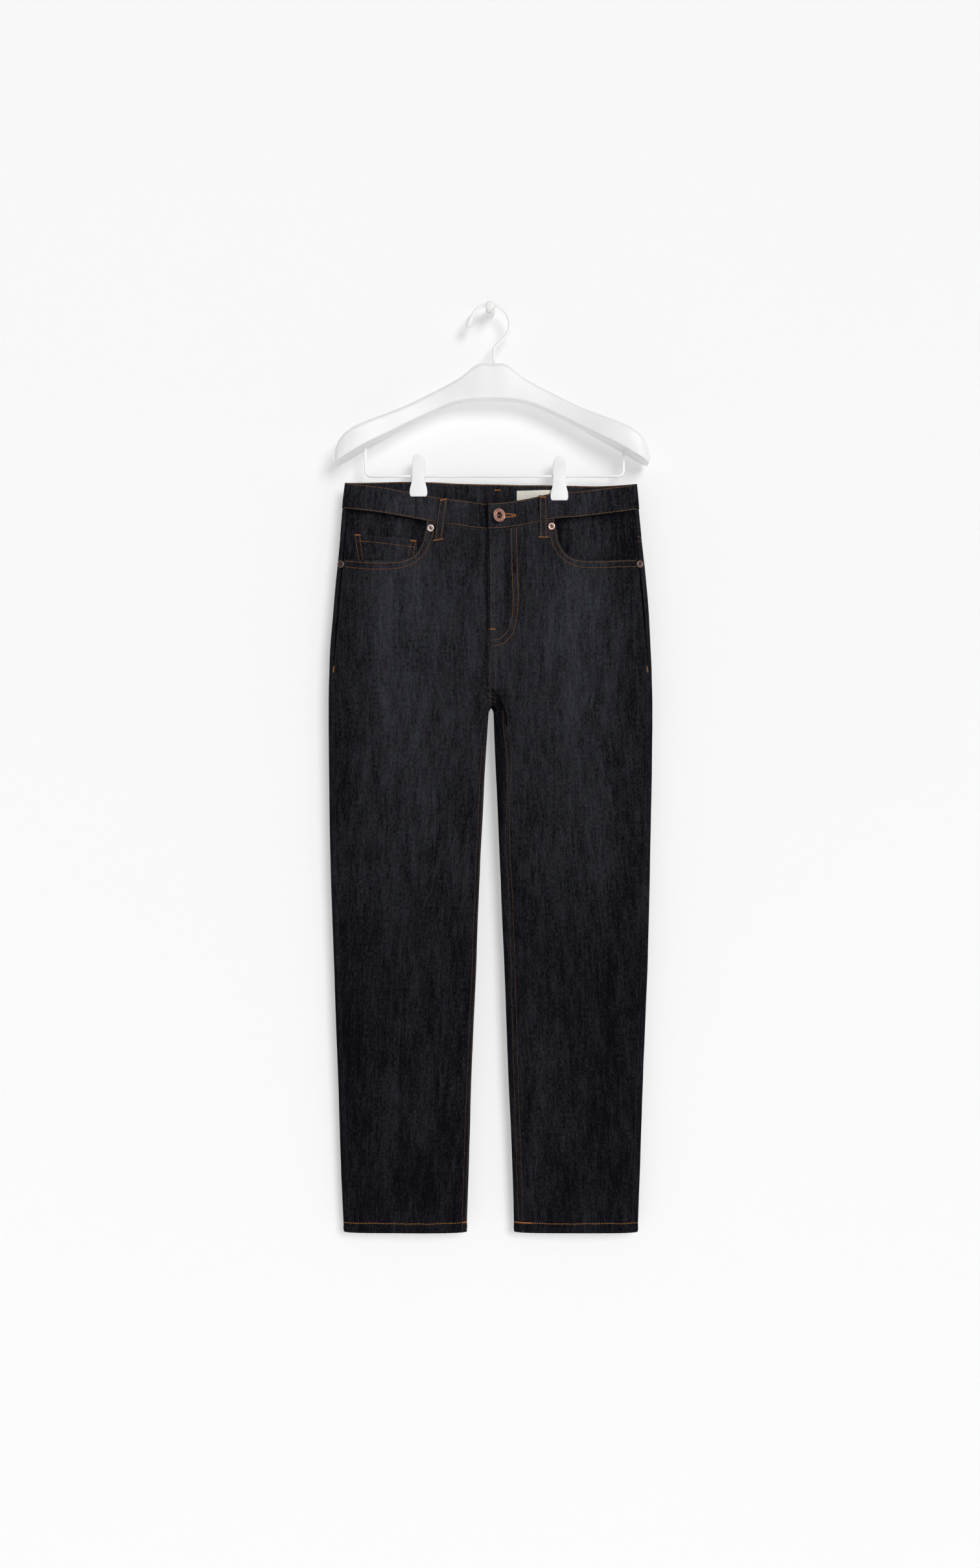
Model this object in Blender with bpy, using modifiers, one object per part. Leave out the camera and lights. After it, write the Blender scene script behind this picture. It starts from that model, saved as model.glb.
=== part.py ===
"""Jeans held by the waist in a clip hanger, which hangs from a peg in a wall.

The origin is the middle of the peg's back face, on the wall. +X is to the viewer's right, which is
the wearer's left, +Y goes into the wall and +Z is up. Sizes are in millimetres, and each mesh is
made in metres. Sides are the wearer's: side -1 is the right leg, side +1 the left leg.
"""

import functools
import math
from collections import namedtuple

import bmesh
import bpy
import numpy as np
from mathutils import Matrix, Quaternion, Vector

MM = 0.001
SEAM_GAP = 0.3
BAND_SEAM_GAP = 0.7
SIDES = {"right": -1, "left": 1}

# Cloth, as distances out from the outer face of the leg panels
PANEL_WALL = 1.4
HEM_WALL = 2.0
BAND_OUTER, BAND_INNER = 0.9, -1.6
OVERLAP_OUTER, OVERLAP_INNER = 1.9, -0.5
UNDERLAP_OUTER, UNDERLAP_INNER = -0.8, -3.2

# Garment from the front and in depth: the silhouette on each side, the middle of its depth, and
# how far the front and the back stand off that middle
Section = namedtuple("Section", "z right_x left_x mid_y front back")
SECTIONS = (
    Section(-240.0, -208.5, 211.5, -30.0, 9.0, 8.0),
    Section(-254.0, -209.6, 212.4, -30.0, 9.5, 8.5),
    Section(-291.0, -213.9, 215.7, -30.0, 11.0, 10.0),
    Section(-342.0, -218.1, 220.0, -30.0, 13.5, 13.0),
    Section(-399.0, -223.7, 225.6, -30.0, 15.5, 16.0),
    Section(-446.0, -227.5, 229.4, -30.0, 16.5, 18.0),
    Section(-493.0, -231.2, 232.2, -30.0, 17.0, 18.5),
    Section(-554.0, -233.1, 235.0, -29.5, 17.0, 17.5),
    Section(-662.0, -233.1, 235.0, -28.0, 16.0, 15.5),
    Section(-793.0, -231.2, 232.2, -27.0, 14.5, 13.5),
    Section(-944.0, -226.5, 228.4, -26.0, 13.5, 12.5),
    Section(-1094.0, -221.8, 222.8, -24.5, 12.5, 11.5),
    Section(-1245.0, -216.2, 218.1, -23.0, 11.5, 11.0),
    Section(-1341.4, -212.4, 214.3, -22.0, 11.0, 11.0),
)
# Inner edges of the two legs, below the crotch
InnerEdge = namedtuple("InnerEdge", "z right_x left_x")
INNER_EDGES = (
    InnerEdge(-586.6, -2.8, 5.8),
    InnerEdge(-662.0, -7.5, 8.5),
    InnerEdge(-728.0, -10.3, 11.3),
    InnerEdge(-793.0, -13.2, 13.2),
    InnerEdge(-944.0, -18.8, 19.7),
    InnerEdge(-1094.0, -25.4, 25.4),
    InnerEdge(-1245.0, -31.0, 32.0),
    InnerEdge(-1341.4, -33.8, 34.8),
)
CROTCH_Z = -580.5
CROTCH_X = 1.6
WAIST_MIDDLE_X = -2.2
FORK_RISE = 200.0
SECTION_POWER = 4
HEM_Z = -1341.4

# Seams, measured in from the silhouette on the front: the outseam, and the inseam of each leg
OUTSEAM_INSET = 6.0
INSEAM_START = 4.0
InseamInset = namedtuple("InseamInset", "below_crotch right left")
INSEAM_INSETS = (
    InseamInset(0.0, 0.0, 0.0),
    InseamInset(30.0, 1.5, 19.0),
    InseamInset(80.0, 1.5, 22.0),
    InseamInset(147.0, 1.5, 16.0),
    InseamInset(213.0, 1.5, 12.5),
    InseamInset(761.0, 1.5, 13.0),
)

# Waistband: its top edge in front droops between the sides, and the back one is almost level
EdgePoint = namedtuple("EdgePoint", "x z")
BAND_TOP_FRONT = (
    EdgePoint(-212.0, -253.0),
    EdgePoint(-165.0, -259.0),
    EdgePoint(-118.0, -266.0),
    EdgePoint(-72.0, -275.0),
    EdgePoint(-40.0, -280.0),
    EdgePoint(-4.0, -284.2),
    EdgePoint(44.0, -279.5),
    EdgePoint(90.0, -268.8),
    EdgePoint(136.0, -265.0),
    EdgePoint(172.0, -261.0),
    EdgePoint(215.0, -254.5),
)
BAND_TOP_BACK = (
    EdgePoint(-212.0, -253.0),
    EdgePoint(-165.0, -251.5),
    EdgePoint(0.0, -254.0),
    EdgePoint(172.0, -256.5),
    EdgePoint(215.0, -254.5),
)
BAND_HEIGHT = 37.5
OVERLAP_END_X = -3.6
UNDERLAP_START_X, UNDERLAP_END_X = 4.0, 30.0
BAND_RISE_WIDTH = 18.0
BAND_REFERENCE_Z = -275.0
BAND_COLUMNS = 42
UNDERLAP_COLUMNS = 4

# Clips pinch front and back together
Clip = namedtuple("Clip", "name x top bottom")
CLIPS = (Clip("right", -103.6, -212.5, -273.6), Clip("left", 100.4, -216.2, -279.2))
PINCH_HALF_GAP = 0.65
PINCH_FLAT, PINCH_REACH = 17.0, 62.0
PINCH_BOTTOM, PINCH_FADE = -287.0, 150.0

# Jaws of the clips: half widths at heights above the foot, and their section
JAW_TOP_HALF, JAW_WALL, JAW_SPLAY = 9.0, 3.2, 7.0
ROUND_STEPS = 8
JawEdge = namedtuple("JawEdge", "half above")
JAW_EDGES = (JawEdge(9.8, 22.0), JawEdge(12.8, 8.0), JawEdge(11.8, 1.0), JawEdge(9.8, 0.0))

# Yokes, pockets, belt loops and label, in the cloth's own places
YOKE_SIDE_Z, YOKE_MIDDLE_Z = -333.0, -356.0
MOUTH_BOTTOM_Z = -367.5
MouthPoint = namedtuple("MouthPoint", "reach z")
POCKET_MOUTH = (
    MouthPoint(91.0, -280.0),
    MouthPoint(92.4, -313.4),
    MouthPoint(94.7, -325.5),
    MouthPoint(97.2, -338.6),
    MouthPoint(102.8, -350.7),
    MouthPoint(110.8, -360.5),
    MouthPoint(119.0, -365.6),
    MouthPoint(130.0, MOUTH_BOTTOM_Z),
    MouthPoint(260.0, MOUTH_BOTTOM_Z - 1.5),
    MouthPoint(260.0, -280.0),
)
FACING_INNER_U = 76.0
FACING_BOTTOM_Z = -392.0
FACING_LEVELS = {"right": (-3.5, -4.9), "left": (-1.9, -3.3)}
COIN_U = (104.0, 194.0)
COIN_TOP_Z = (-336.0, -326.5)
COIN_BOTTOM_Z = -388.0
COIN_LEVELS = (-1.9, -3.1)
BackPocket = namedtuple("BackPocket", "centre_u top_z top_width bottom_width side_height point slant")
BACK_POCKET = BackPocket(112.0, -392.0, 150.0, 128.0, 142.0, 18.0, 4.0)
POCKET_LEVELS = (2.0, 0.45)
LOOP_WIDTH, LOOP_WALL = 12.0, 2.0
LOOP_BELOW_BAND = 20.0
# How far a loop's inner face stands off the panels, down its length
LoopRise = namedtuple("LoopRise", "share level")
LOOP_RISES = (
    LoopRise(0.0, 1.4),
    LoopRise(0.5, 1.9),
    LoopRise(0.62, 1.8),
    LoopRise(0.72, 1.6),
    LoopRise(0.86, 1.1),
    LoopRise(1.0, 0.7),
)
Loop = namedtuple("Loop", "name front top_x bottom_x")
LOOPS = (
    Loop("belt_loop_front_right", True, -66.0, -75.0),
    Loop("belt_loop_front_left", True, 76.0, 77.0),
    Loop("belt_loop_back_right", False, -146.0, -147.0),
    Loop("belt_loop_back_left", False, 146.0, 147.0),
    Loop("belt_loop_centre_back", False, 10.0, 9.0),
)
LABEL_X = (37.5, 97.0)
LABEL_Z = (-261.5, -288.0)
LABEL_LEVELS = (-2.0, -2.5)

# Button and rivets
BUTTON_X, BUTTON_Z = 13.4, -300.5
BUTTON_RADIUS, BUTTON_TILT = 10.4, 30.0
SHANK_RADIUS, SHANK_LENGTH = 3.6, 4.6
# Turned profiles, top to bottom: radius as a share of the whole, height in millimetres
Turn = namedtuple("Turn", "radius height")
BUTTON_HEAD = (
    Turn(0.0, 0.9),
    Turn(0.30, 0.9),
    Turn(0.38, 1.7),
    Turn(0.50, 1.9),
    Turn(0.80, 1.7),
    Turn(0.88, 2.3),
    Turn(0.96, 2.2),
    Turn(1.0, 1.4),
    Turn(0.95, 0.4),
    Turn(0.70, 0.0),
    Turn(SHANK_RADIUS / BUTTON_RADIUS, -0.6),
    Turn(SHANK_RADIUS / BUTTON_RADIUS, -SHANK_LENGTH),
    Turn(0.0, -SHANK_LENGTH),
)
RIVET_RADIUS = 5.4
RIVET_HEAD = (
    Turn(0.0, 1.75),
    Turn(0.28, 1.65),
    Turn(0.42, 2.2),
    Turn(0.75, 2.0),
    Turn(1.0, 0.8),
    Turn(1.0, 0.0),
    Turn(0.0, 0.0),
)
Rivet = namedtuple("Rivet", "name x z level")
RIVETS = (
    Rivet("rivet_right_inner", -86.0, -319.5, 0.8),
    Rivet("rivet_right_outer", -215.6, -371.5, 0.3),
    Rivet("rivet_left_inner", 89.0, -317.0, 0.8),
    Rivet("rivet_left_outer", 216.8, -371.5, 0.3),
)

# Hanger: half of its body, mirrored about its middle
HANGER_X = 2.4
HANGER_Y = -30.0
Arm = namedtuple("Arm", "reach top bottom depth")
ARMS = (
    Arm(0.0, -82.0, -132.7, 27.0),
    Arm(20.0, -82.5, -133.0, 27.0),
    Arm(29.0, -88.0, -133.5, 26.0),
    Arm(41.0, -98.0, -135.0, 25.0),
    Arm(58.0, -108.5, -139.0, 24.0),
    Arm(73.0, -116.5, -145.0, 23.0),
    Arm(92.0, -126.0, -153.5, 23.0),
    Arm(120.0, -140.5, -167.5, 28.0),
    Arm(150.0, -154.0, -183.5, 39.0),
    Arm(180.0, -166.5, -199.0, 50.0),
    Arm(204.0, -178.5, -213.0, 53.0),
    Arm(216.0, -188.5, -220.0, 50.0),
    Arm(223.5, -199.0, -224.5, 42.0),
    Arm(227.5, -209.0, -225.5, 30.0),
    Arm(229.0, -215.0, -222.5, 16.0),
)
BODY_TOP_ROUND, BODY_BOTTOM_ROUND = 7.0, 2.0

# Hook, resting in the groove of the peg
HOOK_WIRE = 2.45
GROOVE_RADIUS = 3.0
HOOK_RADIUS = 28.5
HOOK_TIP_ANGLE, HOOK_FOOT_ANGLE = 158.0, -40.0
HOOK_ARC_STEPS, BEND_STEPS = 22, 5
SHANK_X = 5.6
SHANK_BEND_Z, SHANK_BEND_RADIUS = -58.0, 9.0
SHANK_BURIED = 16.0
TIP_RADIUS, TIP_LENGTH, TIP_BORE, TIP_LIP = 4.6, 17.0, 8.0, 0.9

# Bar, bent from one wire, its ends in the underside of the arms
BAR_WIRE = 1.95
BAR_Z = -243.5
BAR_ENDS_X = (-180.5, 193.6)
BAR_CORNER = 8.0
BAR_BURIED = 8.0
BORE_CLEARANCE, BORE_OUTSIDE = 0.3, 12.0

# Peg
PEG_RADIUS, PEG_LENGTH = 6.8, 49.0
GROOVE_FROM, GROOVE_TO = 26.6, 33.4
PEG_DOME = 1.6

# Colours as linear values with roughness and metal
Finish = namedtuple("Finish", "red green blue roughness metallic")
FINISHES = {
    "denim": Finish(0.022, 0.022, 0.028, 0.9, 0.0),
    "denim_dark": Finish(0.014, 0.014, 0.018, 0.9, 0.0),
    "copper": Finish(0.48, 0.22, 0.14, 0.35, 1.0),
    "label": Finish(0.80, 0.77, 0.68, 0.8, 0.0),
    "white_plastic": Finish(0.86, 0.86, 0.85, 0.4, 0.0),
    "white_wire": Finish(0.86, 0.86, 0.85, 0.3, 0.0),
}

# Places along the cloth: points of a half ring, and how far apart the meshes' columns may lie
RING_POINTS = 160
BEND_UNIT = math.radians(22)
LENGTH_UNIT = 18.0
# Rows and columns of the panels, and heights near their top seams where the columns are spread
FRONT_TOP_Z, BACK_TOP_Z = -305.0, -320.0
FRONT_COLUMNS, BACK_COLUMNS, FACING_COLUMNS = 16, 19, 14
UPPER_SHARES = (0, 0.07, 0.15, 0.23, 0.32, 0.43, 0.56, 0.68, 0.79, 0.88, 0.95, 1)
BELOW_CROTCH = (5, 14, 28, 48, 80, 130, 190, 260, 340, 430, 530, 640, 747.2, 747.8, 761)


def clear_scene():
    """Removes every object of the file, so that the model stands alone."""
    for obj in list(bpy.data.objects):
        bpy.data.objects.remove(obj, do_unlink=True)


def new_collection(name, hidden=False):
    collection = bpy.data.collections.new(name)
    bpy.context.scene.collection.children.link(collection)
    collection.hide_render = hidden
    return collection


def material_of(kind):
    """The Principled material of one finish, made once."""
    found = bpy.data.materials.get(kind)
    if found:
        return found
    finish = FINISHES[kind]
    material = bpy.data.materials.new(kind)
    material.use_nodes = True
    shader = material.node_tree.nodes["Principled BSDF"]
    shader.inputs["Base Color"].default_value = (finish.red, finish.green, finish.blue, 1)
    shader.inputs["Roughness"].default_value = finish.roughness
    shader.inputs["Metallic"].default_value = finish.metallic
    return material


def add_object(name, mesh, kind, collection):
    """Links a mesh as a named object with one material of its own."""
    obj = bpy.data.objects.new(name, mesh)
    own = material_of(kind).copy()
    own.name = f"{name}_{kind}"
    mesh.materials.append(own)
    collection.objects.link(obj)
    return obj


def ease(value):
    """Smooth step from 0 to 1."""
    value = np.clip(value, 0, 1)
    return value * value * (3 - 2 * value)


def curve_through(places, values):
    """A smooth curve through a table, as a function: cubic, with slopes from the neighbours."""
    order = np.argsort(places)
    x = np.array(places, float)[order]
    y = np.array(values, float)[order]
    slope = np.gradient(y, x)

    def at(place):
        place = np.clip(place, x[0], x[-1])
        i = np.clip(np.searchsorted(x, place) - 1, 0, len(x) - 2)
        step = x[i + 1] - x[i]
        t = (place - x[i]) / step
        bulge = t * (1 - t)
        line = y[i] * (1 - t) + y[i + 1] * t
        rise = y[i + 1] - y[i]
        first = slope[i] * step - rise
        last = rise - slope[i + 1] * step
        return line + bulge * ((1 - t) * first + t * last)

    return at


def column(rows, place, value):
    return curve_through([getattr(r, place) for r in rows], [getattr(r, value) for r in rows])


outer_x = {-1: column(SECTIONS, "z", "right_x"), 1: column(SECTIONS, "z", "left_x")}
inner_x = {-1: column(INNER_EDGES, "z", "right_x"), 1: column(INNER_EDGES, "z", "left_x")}
inseam_inset = {
    -1: column(INSEAM_INSETS, "below_crotch", "right"),
    1: column(INSEAM_INSETS, "below_crotch", "left"),
}
mid_y = column(SECTIONS, "z", "mid_y")
front_depth = column(SECTIONS, "z", "front")
back_depth = column(SECTIONS, "z", "back")
band_top_front = column(BAND_TOP_FRONT, "x", "z")
band_top_back = column(BAND_TOP_BACK, "x", "z")


def middle_x(z):
    """Where the two halves meet: the fly and the seat seam lean a little to the crotch."""
    share = ease((z - CROTCH_Z) / (SECTIONS[1].z - CROTCH_Z))
    return CROTCH_X + (WAIST_MIDDLE_X - CROTCH_X) * share


def inner_u(side, z, outer):
    """Inner end of a leg's section. Above the crotch it lies past the middle and is cut off there."""
    if z >= CROTCH_Z:
        return -outer * ease((z - CROTCH_Z) / FORK_RISE)
    first = INNER_EDGES[0]
    at_first = side * (inner_x[side](first.z) - CROTCH_X)
    if z > first.z:
        share = (CROTCH_Z - z) / (CROTCH_Z - first.z)
        return SEAM_GAP / 2 + (at_first - SEAM_GAP / 2) * math.sqrt(share)
    return side * (inner_x[side](z) - CROTCH_X)


def pinch(x, z):
    """How far the clips press the two walls together: 1 under a clip, 0 away from both."""
    fade = np.clip(1 - (PINCH_BOTTOM - z) / PINCH_FADE, 0, 1) ** 2
    near = [ease((PINCH_REACH - np.abs(x - c.x)) / (PINCH_REACH - PINCH_FLAT)) for c in CLIPS]
    return fade * np.maximum(*near)


Ring = namedtuple("Ring", "x y nx ny length spread front_u front_length back_u back_length closed")


@functools.lru_cache(maxsize=None)
def half_ring(side, z):
    """One half of the garment's outer face at height z.

    It runs from centre front, or from the inner end of the leg, outwards along the front, round the
    side and back along the back.
    """
    middle = middle_x(z)
    outer = side * (outer_x[side](z) - middle)
    inner = inner_u(side, z, outer)
    centre, half = (outer + inner) / 2, (outer - inner) / 2
    start = max(inner, SEAM_GAP / 2)
    first = math.asin(max(-1.0, (start - centre) / half))
    across = np.sin(np.linspace(first, math.pi / 2, RING_POINTS))
    u = centre + half * across
    fullness = np.sqrt(np.clip(1 - np.abs(across) ** SECTION_POWER, 0, 1))
    pressed = pinch(middle + side * u, z)
    least = (PINCH_HALF_GAP - BAND_INNER) * np.minimum(1, fullness * 4)
    front = least * pressed + front_depth(z) * fullness * (1 - pressed)
    back = least * pressed + back_depth(z) * fullness * (1 - pressed)
    ring_u = np.concatenate([u, u[-2::-1]])
    y = mid_y(z) + np.concatenate([-front, back[-2::-1]])
    du, dy = np.gradient(ring_u), np.gradient(y)
    run = np.hypot(du, dy)
    steps = np.hypot(np.diff(ring_u), np.diff(y))
    length = np.concatenate([[0], np.cumsum(steps)])
    turn = np.abs(np.diff(np.unwrap(np.arctan2(dy, du))))
    spread = np.concatenate([[0], np.cumsum(steps / LENGTH_UNIT + turn / BEND_UNIT)])
    n = RING_POINTS
    return Ring(
        middle + side * ring_u, y, side * dy / run, -du / run, length, spread,
        u, length[:n], u[::-1], length[n - 1:], z < CROTCH_Z,
    )


Place = namedtuple("Place", "point normal")


def place_at(side, z, along):
    """The point and outward direction at a length along the half ring, past its end on a leg."""
    ring = half_ring(side, float(z))
    total = ring.length[-1]
    if ring.closed:
        along = along % total if along > total else along
    x, y, nx, ny = (
        float(np.interp(along, ring.length, v)) for v in (ring.x, ring.y, ring.nx, ring.ny)
    )
    size = math.hypot(nx, ny)
    return Place(Vector((x, y, z)), Vector((nx / size, ny / size, 0)))


def front_length(side, z, u):
    ring = half_ring(side, float(z))
    return float(np.interp(u, ring.front_u, ring.front_length))


def back_length(side, z, u):
    ring = half_ring(side, float(z))
    return float(np.interp(-u, -ring.back_u, ring.back_length))


def surface(x, z, front):
    """The place on the front or back outer face at a given x."""
    middle = middle_x(z)
    side = 1 if x > middle else -1
    u = max(side * (x - middle), SEAM_GAP / 2)
    find = front_length if front else back_length
    return place_at(side, z, find(side, z, u))


def outer_u(side, z):
    return float(half_ring(side, float(z)).front_u[-1])


def outseam_length(side, z):
    return front_length(side, z, outer_u(side, z) - OUTSEAM_INSET)


def inseam_length(side, z):
    """Where the inseam lies on the ring, from its start at the inner end."""
    if z >= CROTCH_Z:
        return 0.0
    inset = float(inseam_inset[side](CROTCH_Z - z))
    start = half_ring(side, float(z)).front_u[0]
    return front_length(side, z, start + inset)


def front_span(side, z):
    gap = SEAM_GAP / 2 * float(ease((CROTCH_Z - z) / INSEAM_START))
    return inseam_length(side, z) + gap, outseam_length(side, z) - SEAM_GAP / 2


def back_span(side, z):
    gap = SEAM_GAP / 2 * float(ease((CROTCH_Z - z) / INSEAM_START))
    total = half_ring(side, float(z)).length[-1]
    return outseam_length(side, z) + SEAM_GAP / 2, total + inseam_length(side, z) - gap


def spread_places(side, z, span, share):
    """The length at a share of a span, with more points where the ring bends."""
    ring = half_ring(side, float(z))
    total, weight = ring.length[-1], ring.spread[-1]

    def weight_at(along):
        past = along > total
        return float(np.interp(along - total * past, ring.length, ring.spread)) + weight * past

    wanted = weight_at(span[0]) * (1 - share) + weight_at(span[1]) * share
    past = wanted > weight
    return float(np.interp(wanted - weight * past, ring.spread, ring.length)) + total * past


def grid_of(side, span_of, shares, heights):
    """Rows of places: heights gives, for each row, a function of the share across."""
    rows = []
    for height in heights:
        row = []
        for share in shares:
            z = float(height(share))
            row.append(place_at(side, z, spread_places(side, z, span_of(side, z), share)))
        rows.append(row)
    return rows


def level_of(level, row, col):
    return level(row, col) if callable(level) else level


def wall(name, rows, outer, inner, kind, collection):
    """A wall of cloth: the rows of places moved out to its outer level and in to its inner level."""
    made = bmesh.new()
    faces = []
    for level in (outer, inner):
        faces.append([
            [made.verts.new((p.point + p.normal * level_of(level, r, c)) * MM) for c, p in enumerate(row)]
            for r, row in enumerate(rows)
        ])
    count, width = len(rows), len(rows[0])
    for skin in faces:
        for r in range(count - 1):
            for c in range(width - 1):
                made.faces.new((skin[r][c], skin[r][c + 1], skin[r + 1][c + 1], skin[r + 1][c]))
    edge = [(0, c) for c in range(width)] + [(r, width - 1) for r in range(1, count)]
    edge += [(count - 1, c) for c in range(width - 2, -1, -1)] + [(r, 0) for r in range(count - 2, 0, -1)]
    for (r0, c0), (r1, c1) in zip(edge, edge[1:] + edge[:1]):
        made.faces.new((faces[0][r0][c0], faces[0][r1][c1], faces[1][r1][c1], faces[1][r0][c0]))
    bmesh.ops.recalc_face_normals(made, faces=made.faces)
    mesh = bpy.data.meshes.new(name)
    made.to_mesh(mesh)
    made.free()
    return add_object(name, mesh, kind, collection)


def band_low(x, front):
    return (band_top_front(x) if front else band_top_back(x)) - BAND_HEIGHT


def is_front(side, along, z):
    return along <= half_ring(side, float(z)).front_length[-1]


def panel_top_front(side):
    """Height of the waistband seam at each share across a front panel."""

    def at(share):
        span = front_span(side, FRONT_TOP_Z)
        x = place_at(side, FRONT_TOP_Z, spread_places(side, FRONT_TOP_Z, span, share)).point.x
        return float(band_low(x, True)) - BAND_SEAM_GAP

    return at


def seat_heights(side):
    """Heights of the waistband seam and of the yoke seam at each share across the back."""

    def place(share):
        along = spread_places(side, BACK_TOP_Z, back_span(side, BACK_TOP_Z), share)
        return place_at(side, BACK_TOP_Z, along).point.x, is_front(side, along, BACK_TOP_Z)

    def band(share):
        x, front = place(share)
        return float(band_low(x, front)) - BAND_SEAM_GAP

    def yoke(share):
        x = place(share)[0]
        reach = min(1.0, abs(x - middle_x(BACK_TOP_Z)) / outer_u(side, BACK_TOP_Z))
        return YOKE_MIDDLE_Z + (YOKE_SIDE_Z - YOKE_MIDDLE_Z) * reach

    return band, yoke


def panel_heights(top):
    """Row heights of a leg panel: evenly from its top seam to the crotch, then level to the hem."""
    between = [lambda q, v=v: top(q) * (1 - v) + CROTCH_Z * v for v in UPPER_SHARES]
    level = [lambda q, d=d: max(CROTCH_Z - d, HEM_Z) for d in BELOW_CROTCH]
    return between + level


def hem_level(count):
    """Inner level of a leg panel: the hem is turned up inside over the last two rows."""
    return lambda row, col: -HEM_WALL if row >= count - 2 else -PANEL_WALL


def shares(count):
    return [i / count for i in range(count + 1)]


def cut_with(obj, cutter):
    modifier = obj.modifiers.new("cut", "BOOLEAN")
    modifier.operation = "DIFFERENCE"
    modifier.object = cutter


def prism(name, outline, y_from, y_to, collection):
    """A solid of one outline in the XZ plane, between two depths."""
    made = bmesh.new()
    face = made.faces.new([made.verts.new((x * MM, y_from * MM, z * MM)) for x, z in outline])
    grown = bmesh.ops.extrude_face_region(made, geom=[face])["geom"]
    corners = [g for g in grown if isinstance(g, bmesh.types.BMVert)]
    bmesh.ops.translate(made, verts=corners, vec=(0, (y_to - y_from) * MM, 0))
    bmesh.ops.recalc_face_normals(made, faces=made.faces)
    mesh = bpy.data.meshes.new(name)
    made.to_mesh(mesh)
    made.free()
    obj = bpy.data.objects.new(name, mesh)
    collection.objects.link(obj)
    return obj


def as_cutter(obj):
    obj.hide_render = True
    obj.display_type = "WIRE"
    return obj


def build_front_panel(name, side, parts, cutters):
    """A front leg panel, with its pocket mouth cut out of the upper outer corner."""
    heights = panel_heights(panel_top_front(side))
    rows = grid_of(side, front_span, shares(FRONT_COLUMNS), heights)
    panel = wall(f"front_{name}", rows, 0.0, hem_level(len(heights)), "denim", parts)
    outline = [(side * p.reach, p.z) for p in POCKET_MOUTH]
    cutter = as_cutter(prism(f"mouth_{name}", outline, 3 * HANGER_Y, HANGER_Y, cutters))
    cut_with(panel, cutter)


def build_back(name, side, parts):
    """A back leg panel and the yoke above it, both wrapped round the side to the outseam."""
    band, yoke = seat_heights(side)
    across = shares(BACK_COLUMNS)
    heights = panel_heights(lambda q: yoke(q) - SEAM_GAP)
    rows = grid_of(side, back_span, across, heights)
    wall(f"back_{name}", rows, 0.0, hem_level(len(heights)), "denim", parts)
    levels = [lambda q, v=v: band(q) * (1 - v) + yoke(q) * v for v in (0, 0.5, 1)]
    rows = grid_of(side, back_span, across, levels)
    wall(f"yoke_{name}", rows, 0.0, -PANEL_WALL, "denim", parts)


def band_stations():
    """Stations along the waistband: from the underlap round the back to the overlap."""
    reference = BAND_REFERENCE_Z
    stations = []
    for x in np.linspace(UNDERLAP_END_X, UNDERLAP_START_X, UNDERLAP_COLUMNS):
        stations.append((1, front_length(1, reference, x - WAIST_MIDDLE_X), "under"))
    for side in (-1, 1):
        total = half_ring(side, reference).length[-1]
        lengths = [spread_places(side, reference, (0.0, total), q) for q in shares(BAND_COLUMNS)]
        lengths = lengths[1:] if side < 0 else lengths[-2:0:-1]
        stations += [(side, along, "single") for along in lengths]
    for x in (0.0, OVERLAP_END_X):
        side = 1 if x > WAIST_MIDDLE_X else -1
        stations.append((side, front_length(side, reference, abs(x - WAIST_MIDDLE_X)), "over"))
    return stations


def build_waistband(parts):
    """One strip, 37.5 mm high, whose buttonhole end lies over its button end."""
    stations, reference = band_stations(), BAND_REFERENCE_Z
    places, outer_levels, inner_levels = [[], [], []], [], []
    for side, along, part in stations:
        start = place_at(side, reference, along).point.x
        front = is_front(side, along, reference)
        top = float(band_top_front(start) if front else band_top_back(start))
        share = along / half_ring(side, reference).length[-1]
        for row, drop in zip(places, (0.0, 0.5, 1.0)):
            z = top - BAND_HEIGHT * drop
            row.append(place_at(side, z, share * half_ring(side, z).length[-1]))
        near = float(ease(1 - abs(start - OVERLAP_END_X) / BAND_RISE_WIDTH)) if front else 0.0
        if part == "under" or (part == "single" and side < 0):
            low = 1.0 if part == "under" else near
            outer_levels.append(BAND_OUTER + (UNDERLAP_OUTER - BAND_OUTER) * low)
            inner_levels.append(BAND_INNER + (UNDERLAP_INNER - BAND_INNER) * low)
        else:
            reach = (UNDERLAP_END_X + BAND_RISE_WIDTH - start) / BAND_RISE_WIDTH
            high = float(ease(reach)) if front else 0.0
            outer_levels.append(BAND_OUTER + (OVERLAP_OUTER - BAND_OUTER) * high)
            inner_levels.append(BAND_INNER + (OVERLAP_INNER - BAND_INNER) * high)

    def outer(row, col):
        return outer_levels[col]

    def inner(row, col):
        return inner_levels[col]

    wall("waistband", places, outer, inner, "denim", parts)


def build_facing(name, side, parts):
    """The denim behind a front pocket mouth, from the outseam to past the mouth's inner end."""
    outer_level, inner_level = FACING_LEVELS[name]
    rows = []
    for v in shares(6):
        row = []
        for q in shares(FACING_COLUMNS):
            z = FRONT_TOP_Z
            for _ in range(2):
                inner = front_length(side, z, FACING_INNER_U)
                along = spread_places(side, z, (inner, outseam_length(side, z) - SEAM_GAP / 2), q)
                x = place_at(side, z, along).point.x
                z = (float(band_low(x, True)) - BAND_SEAM_GAP) * (1 - v) + FACING_BOTTOM_Z * v
            row.append(place_at(side, z, along))
        rows.append(row)
    wall(f"pocket_facing_{name}", rows, outer_level, inner_level, "denim_dark", parts)


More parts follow.
